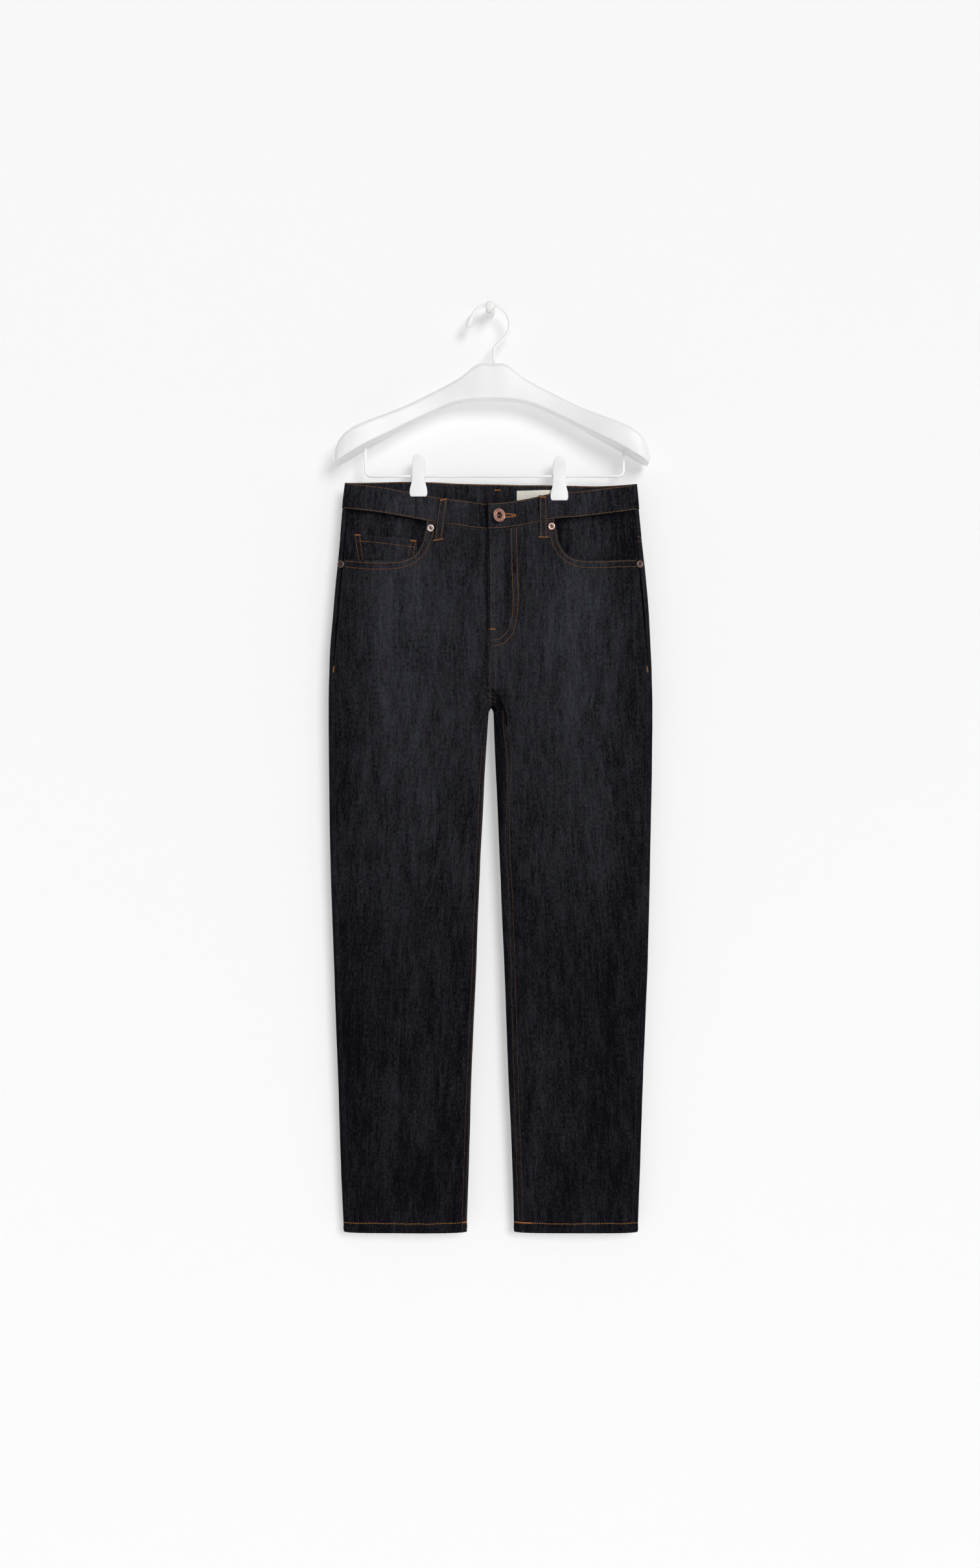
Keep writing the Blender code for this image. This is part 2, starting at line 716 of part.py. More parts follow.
def build_coin_pocket(parts):
    """The coin pocket on the right facing, running down behind the front panel."""
    side, rows = -1, []
    for v in shares(4):
        row = []
        for q in shares(8):
            u = COIN_U[0] * (1 - q) + COIN_U[1] * q
            top = COIN_TOP_Z[0] * (1 - q) + COIN_TOP_Z[1] * q
            z = top * (1 - v) + COIN_BOTTOM_Z * v
            row.append(place_at(side, z, front_length(side, z, u)))
        rows.append(row)
    wall("coin_pocket", rows, *COIN_LEVELS, "denim_dark", parts)


def build_back_pocket(name, side, parts):
    """A back pocket with a pointed bottom, laid on the back panel."""
    p, rows = BACK_POCKET, []
    for v in shares(7):
        row = []
        for q in shares(8):
            width = p.top_width * (1 - v) + p.bottom_width * v
            u = p.centre_u + (q - 0.5) * width
            height = p.side_height + p.point * (1 - abs(2 * q - 1))
            z = p.top_z - p.slant * (1 - q) - height * v
            row.append(place_at(side, z, back_length(side, z, u)))
        rows.append(row)
    wall(f"back_pocket_{name}", rows, *POCKET_LEVELS, "denim", parts)


def build_belt_loop(loop, parts):
    """A loop over the waistband, tacked at the band's top edge and on the panel below it."""
    top_of = band_top_front if loop.front else band_top_back
    top = float(top_of(loop.top_x)) - 0.5
    length = BAND_HEIGHT + LOOP_BELOW_BAND
    rows = []
    for rise in LOOP_RISES:
        middle = loop.top_x * (1 - rise.share) + loop.bottom_x * rise.share
        z = top - length * rise.share
        rows.append([surface(middle + LOOP_WIDTH * (q - 0.5), z, loop.front) for q in shares(3)])

    def inner(row, col):
        return LOOP_RISES[row].level

    def outer(row, col):
        return LOOP_RISES[row].level + LOOP_WALL

    wall(loop.name, rows, outer, inner, "denim", parts)


def build_label(parts):
    """A blank woven label inside the back of the waistband."""
    rows = []
    for v in shares(3):
        z = LABEL_Z[0] * (1 - v) + LABEL_Z[1] * v
        rows.append([surface(LABEL_X[0] * (1 - q) + LABEL_X[1] * q, z, False) for q in shares(12)])
    wall("waist_label", rows, *LABEL_LEVELS, "label", parts)


def turned(name, profile, kind, collection, steps=20):
    """A turned shape about its own Z axis from a profile of (radius, height), top to bottom."""
    made = bmesh.new()
    points = [made.verts.new((r * MM, 0, h * MM)) for r, h in profile]
    for a, b in zip(points, points[1:]):
        made.edges.new((a, b))
    mesh = bpy.data.meshes.new(name)
    made.to_mesh(mesh)
    made.free()
    obj = add_object(name, mesh, kind, collection)
    screw = obj.modifiers.new("turn", "SCREW")
    screw.steps = screw.render_steps = steps
    screw.use_merge_vertices = True
    screw.merge_threshold = 0.00005
    screw.use_smooth_shade = True
    return obj


def aim(obj, point, direction, tilt=0.0):
    """Puts an object's origin at a point in millimetres, its Z axis along a direction."""
    turn = Vector(direction).to_track_quat("Z", "Y").to_matrix().to_4x4()
    lean = Matrix.Rotation(math.radians(tilt), 4, "Z")
    obj.matrix_world = Matrix.Translation(Vector(point) * MM) @ lean @ turn


def build_button(parts):
    """The shank button: a dished head with a hollow centre, leaning towards the buttonhole."""
    profile = [(t.radius * BUTTON_RADIUS, t.height) for t in BUTTON_HEAD]
    button = turned("waist_button", profile, "copper", parts, steps=28)
    place = surface(BUTTON_X, BUTTON_Z, True)
    tilt = math.radians(BUTTON_TILT)
    lean = Vector((math.sin(tilt), -math.cos(tilt), 0))
    foot = place.point + place.normal * (OVERLAP_OUTER + SEAM_GAP + SHANK_RADIUS * math.sin(tilt))
    aim(button, foot + lean * SHANK_LENGTH, lean)


def build_rivet(rivet, parts):
    """A domed rivet at one end of a pocket mouth."""
    profile = [(t.radius * RIVET_RADIUS, t.height) for t in RIVET_HEAD]
    obj = turned(rivet.name, profile, "copper", parts, steps=16)
    place = surface(rivet.x, rivet.z, True)
    aim(obj, place.point + place.normal * rivet.level, place.normal)


def body_section(arm):
    """Corners of the hanger body's section: rounded above, nearly sharp below."""
    half, height = arm.depth / 2, arm.top - arm.bottom
    top = min(BODY_TOP_ROUND, half * 0.9, height * 0.45)
    low = min(BODY_BOTTOM_ROUND, half * 0.5, height * 0.3)
    points = []
    for cy, cz, radius, first in (
        (-half + top, arm.top - top, top, 180), (half - top, arm.top - top, top, 90),
        (half - low, arm.bottom + low, low, 0), (-half + low, arm.bottom + low, low, -90),
    ):
        for step in range(3):
            angle = math.radians(first - 45 * step)
            points.append((cy + radius * math.cos(angle), cz + radius * math.sin(angle)))
    return points


def build_hanger_body(parts, cutters):
    """The hanger's moulded body, lofted along its arms, with bores for the hook and the bar."""
    made = bmesh.new()
    arms = [(-1, a) for a in reversed(ARMS[1:])] + [(1, a) for a in ARMS]
    rings = []
    for side, arm in arms:
        x = HANGER_X + side * arm.reach
        rings.append([made.verts.new((x * MM, (HANGER_Y + y) * MM, z * MM)) for y, z in body_section(arm)])
    count = len(rings[0])
    for a, b in zip(rings, rings[1:]):
        for i in range(count):
            j = (i + 1) % count
            made.faces.new((a[i], a[j], b[j], b[i]))
    made.faces.new(rings[0])
    made.faces.new(rings[-1])
    bmesh.ops.recalc_face_normals(made, faces=made.faces)
    mesh = bpy.data.meshes.new("hanger_body")
    made.to_mesh(mesh)
    made.free()
    body = add_object("hanger_body", mesh, "white_plastic", parts)
    top = ARMS[0].top
    bores = [("hook_bore", SHANK_X, top - SHANK_BURIED - BORE_CLEARANCE, top + BORE_OUTSIDE, HOOK_WIRE)]
    for n, x in enumerate(BAR_ENDS_X):
        entry = bar_entry(x)
        bores.append((f"bar_bore_{n}", x, entry - BORE_OUTSIDE, entry + BAR_BURIED, BAR_WIRE))
    for name, x, low, high, radius in bores:
        made = bmesh.new()
        bmesh.ops.create_cone(
            made, cap_ends=True, segments=16, radius1=(radius + BORE_CLEARANCE) * MM,
            radius2=(radius + BORE_CLEARANCE) * MM, depth=(high - low) * MM,
        )
        mesh = bpy.data.meshes.new(name)
        made.to_mesh(mesh)
        made.free()
        cutter = as_cutter(bpy.data.objects.new(name, mesh))
        cutter.location = (x * MM, HANGER_Y * MM, (low + high) / 2 * MM)
        cutters.objects.link(cutter)
        cut_with(body, cutter)


def bar_entry(x):
    """Height of the hanger's underside at x."""
    return float(column(ARMS, "reach", "bottom")(abs(x - HANGER_X)))


def wire(name, points, radius, kind, collection):
    """A round wire along points in millimetres."""
    curve = bpy.data.curves.new(name, "CURVE")
    curve.dimensions = "3D"
    curve.bevel_depth = radius * MM
    curve.bevel_resolution = 2
    curve.use_fill_caps = True
    spline = curve.splines.new("POLY")
    spline.points.add(len(points) - 1)
    for spot, (x, y, z) in zip(spline.points, points):
        spot.co = (x * MM, y * MM, z * MM, 1)
    return add_object(name, curve, kind, collection)


def bend(before, corner, after, radius):
    """Points of an arc that rounds a corner between two straight runs, in the XZ plane."""
    corner = Vector(corner)
    back = (Vector(before) - corner).normalized()
    on = (Vector(after) - corner).normalized()
    half = back.angle(on) / 2
    centre = corner + (back + on).normalized() * radius / math.sin(half)
    start = corner + back * radius / math.tan(half) - centre
    end = corner + on * radius / math.tan(half) - centre
    turn = start.rotation_difference(end)
    arc = []
    for step in range(BEND_STEPS + 1):
        part_turn = Quaternion().slerp(turn, step / BEND_STEPS)
        arc.append(tuple(centre + part_turn @ start))
    return arc


def hook_points():
    """The start of the hook's arc, the way down from it to the tip, and the centreline from there."""
    centre_z = GROOVE_RADIUS + SEAM_GAP + HOOK_WIRE - HOOK_RADIUS
    points = []
    for step in range(HOOK_ARC_STEPS + 1):
        angle = HOOK_TIP_ANGLE + (HOOK_FOOT_ANGLE - HOOK_TIP_ANGLE) * step / HOOK_ARC_STEPS
        turn = math.radians(angle)
        points.append((HOOK_RADIUS * math.cos(turn), HANGER_Y, centre_z + HOOK_RADIUS * math.sin(turn)))
    lead = math.radians(HOOK_TIP_ANGLE)
    start = Vector(points[0])
    down = Vector((-math.sin(lead), 0, math.cos(lead)))
    corner = (SHANK_X, HANGER_Y, SHANK_BEND_Z)
    end = (SHANK_X, HANGER_Y, ARMS[0].top - SHANK_BURIED)
    points += bend(points[-1], corner, end, SHANK_BEND_RADIUS)
    points.append(end)
    return start, down, points


def build_hook(parts):
    """The hook and the cap pushed over its tip."""
    start, down, points = hook_points()
    end = start + down * TIP_BORE
    wire("hanger_hook", [tuple(end)] + points, HOOK_WIRE, "white_wire", parts)
    bore, outer = HOOK_WIRE + SEAM_GAP, TIP_RADIUS
    dome = [math.radians(angle) for angle in range(0, 91, 18)]
    profile = [(outer * math.sin(angle), outer * math.cos(angle)) for angle in dome]
    back = -(TIP_LENGTH - outer)
    profile += [(outer, back * 0.6), (bore + TIP_LIP, back), (bore, back)]
    profile += [(bore, back + TIP_BORE + SEAM_GAP), (0.0, back + TIP_BORE + SEAM_GAP)]
    cap = turned("hook_tip", profile, "white_plastic", parts, steps=16)
    aim(cap, start + down * -back, down)


def build_bar(parts):
    """The bar: a level wire with rounded corners and two uprights."""
    tops = [(x, HANGER_Y, bar_entry(x) + BAR_BURIED - BORE_CLEARANCE) for x in BAR_ENDS_X]
    corners = [(x, HANGER_Y, BAR_Z) for x in BAR_ENDS_X]
    points = [tops[0]] + bend(tops[0], corners[0], corners[1], BAR_CORNER)
    points += bend(corners[0], corners[1], tops[1], BAR_CORNER) + [tops[1]]
    wire("hanger_bar", points, BAR_WIRE, "white_wire", parts)


def jaw_outline(clip):
    """Front outline of a clip jaw: round top, slight waist and a wider foot."""
    points = []
    for step in range(ROUND_STEPS + 1):
        angle = math.pi * (1 - step / ROUND_STEPS)
        z = clip.top - JAW_TOP_HALF + JAW_TOP_HALF * math.sin(angle)
        points.append((clip.x + JAW_TOP_HALF * math.cos(angle), z))
    points += [(clip.x + e.half, clip.bottom + e.above) for e in JAW_EDGES]
    points += [(clip.x - e.half, clip.bottom + e.above) for e in reversed(JAW_EDGES)]
    return points


def jaw_profile(clip):
    """Side section of a jaw, as distance out from the middle plane and height."""
    touch = PINCH_HALF_GAP + BAND_OUTER - BAND_INNER + SEAM_GAP
    at_bar = BAR_WIRE + SEAM_GAP
    over, under = clip.top + 1, clip.bottom - 1
    inner = [(JAW_SPLAY, over), (at_bar + 1.4, BAR_Z + 9), (at_bar, BAR_Z + 3), (at_bar, BAR_Z - 4)]
    inner += [(touch, BAR_Z - 7), (touch, under)]
    outer = [(touch + JAW_WALL, under), (touch + JAW_WALL, clip.bottom + 12)]
    outer += [(at_bar + JAW_WALL + 0.8, BAR_Z), (JAW_SPLAY + JAW_WALL, over)]
    return inner + outer


def build_clip(clip, parts, cutters):
    """The front and back jaws of one clip."""
    for face, towards in (("front", -1), ("back", 1)):
        name = f"clip_{clip.name}_{face}"
        near, far = HANGER_Y + towards, HANGER_Y + towards * 2 * JAW_SPLAY
        plate = prism(name, jaw_outline(clip), near, far, parts)
        own = material_of("white_plastic").copy()
        own.name = f"{name}_white_plastic"
        plate.data.materials.append(own)
        made = bmesh.new()
        start = clip.x - 2 * JAW_TOP_HALF
        corners = [
            made.verts.new((start * MM, (HANGER_Y + towards * out) * MM, z * MM))
            for out, z in jaw_profile(clip)
        ]
        grown = bmesh.ops.extrude_face_region(made, geom=[made.faces.new(corners)])["geom"]
        moved = [g for g in grown if isinstance(g, bmesh.types.BMVert)]
        bmesh.ops.translate(made, verts=moved, vec=(4 * JAW_TOP_HALF * MM, 0, 0))
        bmesh.ops.recalc_face_normals(made, faces=made.faces)
        mesh = bpy.data.meshes.new(f"{name}_side")
        made.to_mesh(mesh)
        made.free()
        shape = as_cutter(bpy.data.objects.new(f"{name}_side", mesh))
        cutters.objects.link(shape)
        modifier = plate.modifiers.new("side", "BOOLEAN")
        modifier.operation = "INTERSECT"
        modifier.object = shape


def build_peg(parts):
    """The wall peg: a turned pin with a groove for the hook and a domed knob."""
    r, g = PEG_RADIUS, GROOVE_RADIUS
    profile = [
        (0.0, PEG_LENGTH), (r * 0.55, PEG_LENGTH - PEG_DOME * 0.25), (r * 0.85, PEG_LENGTH - PEG_DOME * 0.7),
        (r, PEG_LENGTH - PEG_DOME - 0.6), (r, GROOVE_TO + 0.8), (r - 0.8, GROOVE_TO), (g, GROOVE_TO),
        (g, GROOVE_FROM), (r - 0.8, GROOVE_FROM), (r, GROOVE_FROM - 0.8), (r, 0.0), (0.0, 0.0),
    ]
    peg = turned("wall_peg", profile, "white_plastic", parts, steps=32)
    aim(peg, (0, 0, 0), (0, -1, 0))


def main():
    clear_scene()
    parts = new_collection("jeans_on_hanger")
    cutters = new_collection("cutters", hidden=True)
    build_peg(parts)
    build_hook(parts)
    build_hanger_body(parts, cutters)
    build_bar(parts)
    for clip in CLIPS:
        build_clip(clip, parts, cutters)
    for name, side in SIDES.items():
        build_front_panel(name, side, parts, cutters)
        build_back(name, side, parts)
        build_facing(name, side, parts)
        build_back_pocket(name, side, parts)
    build_waistband(parts)
    build_coin_pocket(parts)
    for loop in LOOPS:
        build_belt_loop(loop, parts)
    build_label(parts)
    build_button(parts)
    for rivet in RIVETS:
        build_rivet(rivet, parts)


main()
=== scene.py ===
"""Black jeans clipped by the waist in a white trouser hanger that hangs from a wall peg.

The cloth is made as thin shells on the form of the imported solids, with its creases, seams and
stitches, and the button, rivets, hanger and peg are made finer in their own places. Sizes are in
millimetres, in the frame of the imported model, and meshes are made in metres. Sides are the
wearer's: the right leg is on the viewer's left, where x is negative.
"""

import logging
import math
from dataclasses import dataclass, field
from enum import Enum
from typing import Callable, NamedTuple, Sequence

import bpy
import numpy as np
from mathutils import Matrix, Quaternion, Vector


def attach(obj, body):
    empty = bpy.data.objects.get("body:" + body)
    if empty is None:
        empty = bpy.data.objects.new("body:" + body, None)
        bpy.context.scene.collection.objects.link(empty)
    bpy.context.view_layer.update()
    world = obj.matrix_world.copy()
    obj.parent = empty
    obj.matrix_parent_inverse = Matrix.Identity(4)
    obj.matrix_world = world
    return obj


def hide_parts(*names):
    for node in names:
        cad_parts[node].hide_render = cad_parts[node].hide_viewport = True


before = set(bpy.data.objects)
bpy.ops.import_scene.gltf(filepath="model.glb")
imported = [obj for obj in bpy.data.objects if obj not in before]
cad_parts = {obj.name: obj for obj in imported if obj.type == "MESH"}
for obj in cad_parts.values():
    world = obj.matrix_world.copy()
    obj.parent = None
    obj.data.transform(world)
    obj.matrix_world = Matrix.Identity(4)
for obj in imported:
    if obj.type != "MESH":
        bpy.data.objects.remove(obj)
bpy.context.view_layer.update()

Array = np.ndarray
Point = tuple[float, float]
Colour = tuple[float, float, float]
Cut = tuple[float, float, float]
Piece = bpy.types.Object
Material = bpy.types.Material
Group = bpy.types.NodeTree
Node = bpy.types.Node
Output = bpy.types.NodeSocket
MM = 0.001
BODY = "root"


class Side(Enum):
    """A half of the garment, as the wearer has it. Its value is the sign of x."""

    RIGHT = -1
    LEFT = 1

    @property
    def word(self) -> str:
        """The side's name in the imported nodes."""
        return self.name.lower()


class Face(Enum):
    """The front or the back wall of the garment."""

    FRONT = "front"
    BACK = "back"


class Slot(Enum):
    """The record's material slots."""

    DENIM = "denim"
    FACING = "denim_facing"
    COPPER = "copper"
    LABEL = "label"
    PLASTIC = "hanger_plastic"
    WIRE = "hanger_wire"
    PEG = "peg"


def table_of(kind: type, *values: tuple) -> tuple:
    """A table whose columns have a kind's names, from its plain rows."""
    return tuple(kind(*row) for row in values)


# Form of the cloth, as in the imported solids


class Section(NamedTuple):
    """The silhouette at a height, the middle of its depth, and how far each wall stands off it."""

    z: float
    right_x: float
    left_x: float
    mid_y: float
    front: float
    back: float


SECTIONS = table_of(
    Section,
    (-240, -208.5, 211.5, -30, 9, 8), (-254, -209.6, 212.4, -30, 9.5, 8.5),
    (-291, -213.9, 215.7, -30, 11, 10), (-342, -218.1, 220, -30, 13.5, 13),
    (-399, -223.7, 225.6, -30, 15.5, 16), (-446, -227.5, 229.4, -30, 16.5, 18),
    (-493, -231.2, 232.2, -30, 17, 18.5), (-554, -233.1, 235, -29.5, 17, 17.5),
    (-662, -233.1, 235, -28, 16, 15.5), (-793, -231.2, 232.2, -27, 14.5, 13.5),
    (-944, -226.5, 228.4, -26, 13.5, 12.5), (-1094, -221.8, 222.8, -24.5, 12.5, 11.5),
    (-1245, -216.2, 218.1, -23, 11.5, 11), (-1341.4, -212.4, 214.3, -22, 11, 11),
)


class InnerEdge(NamedTuple):
    """Inner edges of the two legs at a height below the crotch."""

    z: float
    right_x: float
    left_x: float


INNER_EDGES = table_of(
    InnerEdge,
    (-586.6, -2.8, 5.8), (-662, -7.5, 8.5), (-728, -10.3, 11.3), (-793, -13.2, 13.2), (-944, -18.8, 19.7),
    (-1094, -25.4, 25.4), (-1245, -31, 32), (-1341.4, -33.8, 34.8),
)


class InseamInset(NamedTuple):
    """How far each leg's inseam lies in from its inner edge, on the front."""

    below_crotch: float
    right: float
    left: float


INSEAM_INSETS = table_of(
    InseamInset,
    (0, 0, 0), (30, 1.5, 19), (80, 1.5, 22), (147, 1.5, 16), (213, 1.5, 12.5), (761, 1.5, 13),
)


class EdgePoint(NamedTuple):
    """A point of an edge, seen from the front."""

    x: float
    z: float


BAND_TOP_FRONT = table_of(
    EdgePoint,
    (-212, -253), (-165, -259), (-118, -266), (-72, -275), (-40, -280), (-4, -284.2), (44, -279.5),
    (90, -268.8), (136, -265), (172, -261), (215, -254.5),
)
BAND_TOP_BACK = table_of(
    EdgePoint,
    (-212, -253), (-165, -251.5), (0, -254), (172, -256.5), (215, -254.5),
)


class ClipPlace(NamedTuple):
    """Where a clip grips the waistband."""

    side: Side
    x: float
    top: float
    bottom: float


CLIPS = table_of(
    ClipPlace,
    (Side.RIGHT, -103.6, -212.5, -273.6), (Side.LEFT, 100.4, -216.2, -279.2),
)
SEAM_GAP = 0.3
CROTCH_X, CROTCH_Z = 1.6, -580.5
WAIST_MIDDLE_X = -2.2
FORK_RISE = 200
SECTION_POWER = 4
HEM_Z = -1341.4
OUTSEAM_INSET = 6
INSEAM_START = 4
BAND_HEIGHT = 37.5
BAND_SEAM_GAP = 0.3
BAND_OUTER, BAND_INNER = 0.9, -1.6
OVERLAP_OUTER, OVERLAP_INNER = 1.9, -0.5
UNDERLAP_OUTER, UNDERLAP_INNER = -0.8, -3.2
OVERLAP_END_X = -3.6
UNDERLAP_START_X, UNDERLAP_END_X = 4, 30
BAND_RISE_WIDTH = 18
BAND_REFERENCE_Z = -275
PINCH_HALF_GAP = 0.65
PINCH_FLAT, PINCH_REACH = 17, 62
PINCH_BOTTOM, PINCH_FADE = -287, 150
PANEL_WALL, HEM_WALL = 1.4, 2
RING_POINTS = 160
RING_SHARES = 640
BEND_UNIT = math.radians(22)
LENGTH_UNIT = 18
KNOT_STEP = 2.5
KNOTS_BELOW_CROTCH = (0.01, 0.3, 1, 2, 3.5, 5.5, 8, 11, 15, 20, 25, 30, 35)


def ease(value: Array | float) -> Array:
    """Smooth step from 0 to 1."""
    value = np.clip(value, 0, 1)
    return value * value * (3 - 2 * value)


def curve_through(places: Sequence[float], values: Sequence[float]) -> Callable[[Array], Array]:
    """A smooth curve through a table, with slopes from the neighbours.

    Args:
        places: Where the table has values, in rising or falling order.
        values: The values there.

    Returns:
        A function from places to values, which keeps the end values outside the table.
    """
    order = np.argsort(places)
    x, y = np.array(places, float)[order], np.array(values, float)[order]
    slope = np.gradient(y, x)

    def at(place: Array) -> Array:
        """The curve's value at each place."""
        place = np.clip(place, x[0], x[-1])
        i = np.clip(np.searchsorted(x, place) - 1, 0, len(x) - 2)
        step = x[i + 1] - x[i]
        t = (place - x[i]) / step
        rise = y[i + 1] - y[i]
        first, last = slope[i] * step - rise, rise - slope[i + 1] * step
        return y[i] + t * rise + t * (1 - t) * ((1 - t) * first + t * last)

    return at


def column(rows: Sequence[NamedTuple], place: str, value: str) -> Callable[[Array], Array]:
    """A smooth curve through one column of a table, over another column."""
    return curve_through([getattr(r, place) for r in rows], [getattr(r, value) for r in rows])


OUTER_X = {Side.RIGHT: column(SECTIONS, "z", "right_x"), Side.LEFT: column(SECTIONS, "z", "left_x")}
INNER_X = {
    Side.RIGHT: column(INNER_EDGES, "z", "right_x"),
    Side.LEFT: column(INNER_EDGES, "z", "left_x"),
}
INSEAM_INSET = {s: column(INSEAM_INSETS, "below_crotch", s.word) for s in Side}
MID_Y = column(SECTIONS, "z", "mid_y")
FRONT_DEPTH = column(SECTIONS, "z", "front")
BACK_DEPTH = column(SECTIONS, "z", "back")
BAND_TOP = {
    Face.FRONT: column(BAND_TOP_FRONT, "x", "z"),
    Face.BACK: column(BAND_TOP_BACK, "x", "z"),
}


def middle_x(z: Array | float) -> Array:
    """Where the two halves meet: the fly and the seat seam lean a little to the crotch."""
    share = ease((z - CROTCH_Z) / (SECTIONS[1].z - CROTCH_Z))
    return CROTCH_X + (WAIST_MIDDLE_X - CROTCH_X) * share


def pinch(x: Array, z: Array | float) -> Array:
    """How far the clips press the two walls together: 1 under a clip, 0 away from both."""
    fade = np.clip(1 - (PINCH_BOTTOM - z) / PINCH_FADE, 0, 1) ** 2
    near = [ease((PINCH_REACH - np.abs(x - c.x)) / (PINCH_REACH - PINCH_FLAT)) for c in CLIPS]
    return fade * np.maximum(*near)


def band_low(x: Array | float, face: Face = Face.FRONT) -> Array:
    """Height of the waistband's lower edge."""
    return BAND_TOP[face](x) - BAND_HEIGHT


def smooth_noise(u: Array, v: Array, seed: int) -> Array:
    """Noise from -1 to 1 that changes smoothly from one whole number to the next.

    Args:
        u: First coordinate, in cells.
        v: Second coordinate, in cells.
        seed: Which noise.

    Returns:
        The noise at each place.
    """
    size = 64
    values = np.random.default_rng(seed).uniform(-1, 1, (size, size))
    i, j = np.floor(u).astype(int), np.floor(v).astype(int)
    s, t = ease(u - i), ease(v - j)
    i, j, k, m = i % size, j % size, (i + 1) % size, (j + 1) % size
    low = values[i, j] * (1 - s) + values[k, j] * s
    high = values[i, m] * (1 - s) + values[k, m] * s
    return low * (1 - t) + high * t


@dataclass
class HalfRing:
    """One half of the garment's outer face at one height, from centre front round to the back."""

    x: Array
    y: Array
    normal_x: Array
    normal_y: Array
    length: Array
    spread: Array
    front_u: Array
    front_length: Array
    back_u: Array
    back_length: Array

    @classmethod
    def cut(cls, side: Side, z: float) -> "HalfRing":
        """The ring of a side at a height."""
        sign, middle = side.value, float(middle_x(z))
        outer = sign * (float(OUTER_X[side](z)) - middle)
        inner = cls.inner_end(side, z, outer)
        centre, half = (outer + inner) / 2, (outer - inner) / 2
        first = math.asin(max(-1, (max(inner, SEAM_GAP / 2) - centre) / half))
        across = np.sin(np.linspace(first, math.pi / 2, RING_POINTS))
        u = centre + half * across
        fullness = np.sqrt(np.clip(1 - np.abs(across) ** SECTION_POWER, 0, 1))
        pressed = pinch(middle + sign * u, z)
        least = (PINCH_HALF_GAP - BAND_INNER) * np.minimum(1, fullness * 4)
        front = least * pressed + FRONT_DEPTH(z) * fullness * (1 - pressed)
        back = least * pressed + BACK_DEPTH(z) * fullness * (1 - pressed)
        ring_u = np.concatenate([u, u[-2::-1]])
        y = MID_Y(z) + np.concatenate([-front, back[-2::-1]])
        du, dy = np.gradient(ring_u), np.gradient(y)
        run = np.hypot(du, dy)
        steps = np.hypot(np.diff(ring_u), np.diff(y))
        length = np.concatenate([[0], np.cumsum(steps)])
        turn = np.abs(np.diff(np.unwrap(np.arctan2(dy, du))))
        spread = np.concatenate([[0], np.cumsum(steps / LENGTH_UNIT + turn / BEND_UNIT)])
        n = RING_POINTS
        return cls(
            middle + sign * ring_u, y, sign * dy / run, -du / run, length, spread,
            u, length[:n], u[::-1], length[n - 1:],
        )

    @staticmethod
    def inner_end(side: Side, z: float, outer: float) -> float:
        """Inner end of a leg's section, which above the crotch lies past the middle."""
        if z >= CROTCH_Z:
            return -outer * float(ease((z - CROTCH_Z) / FORK_RISE))
        first = INNER_EDGES[0]
        at_first = side.value * (float(INNER_X[side](first.z)) - CROTCH_X)
        if z > first.z:
            share = (CROTCH_Z - z) / (CROTCH_Z - first.z)
            return SEAM_GAP / 2 + (at_first - SEAM_GAP / 2) * math.sqrt(share)
        return side.value * (float(INNER_X[side](z)) - CROTCH_X)


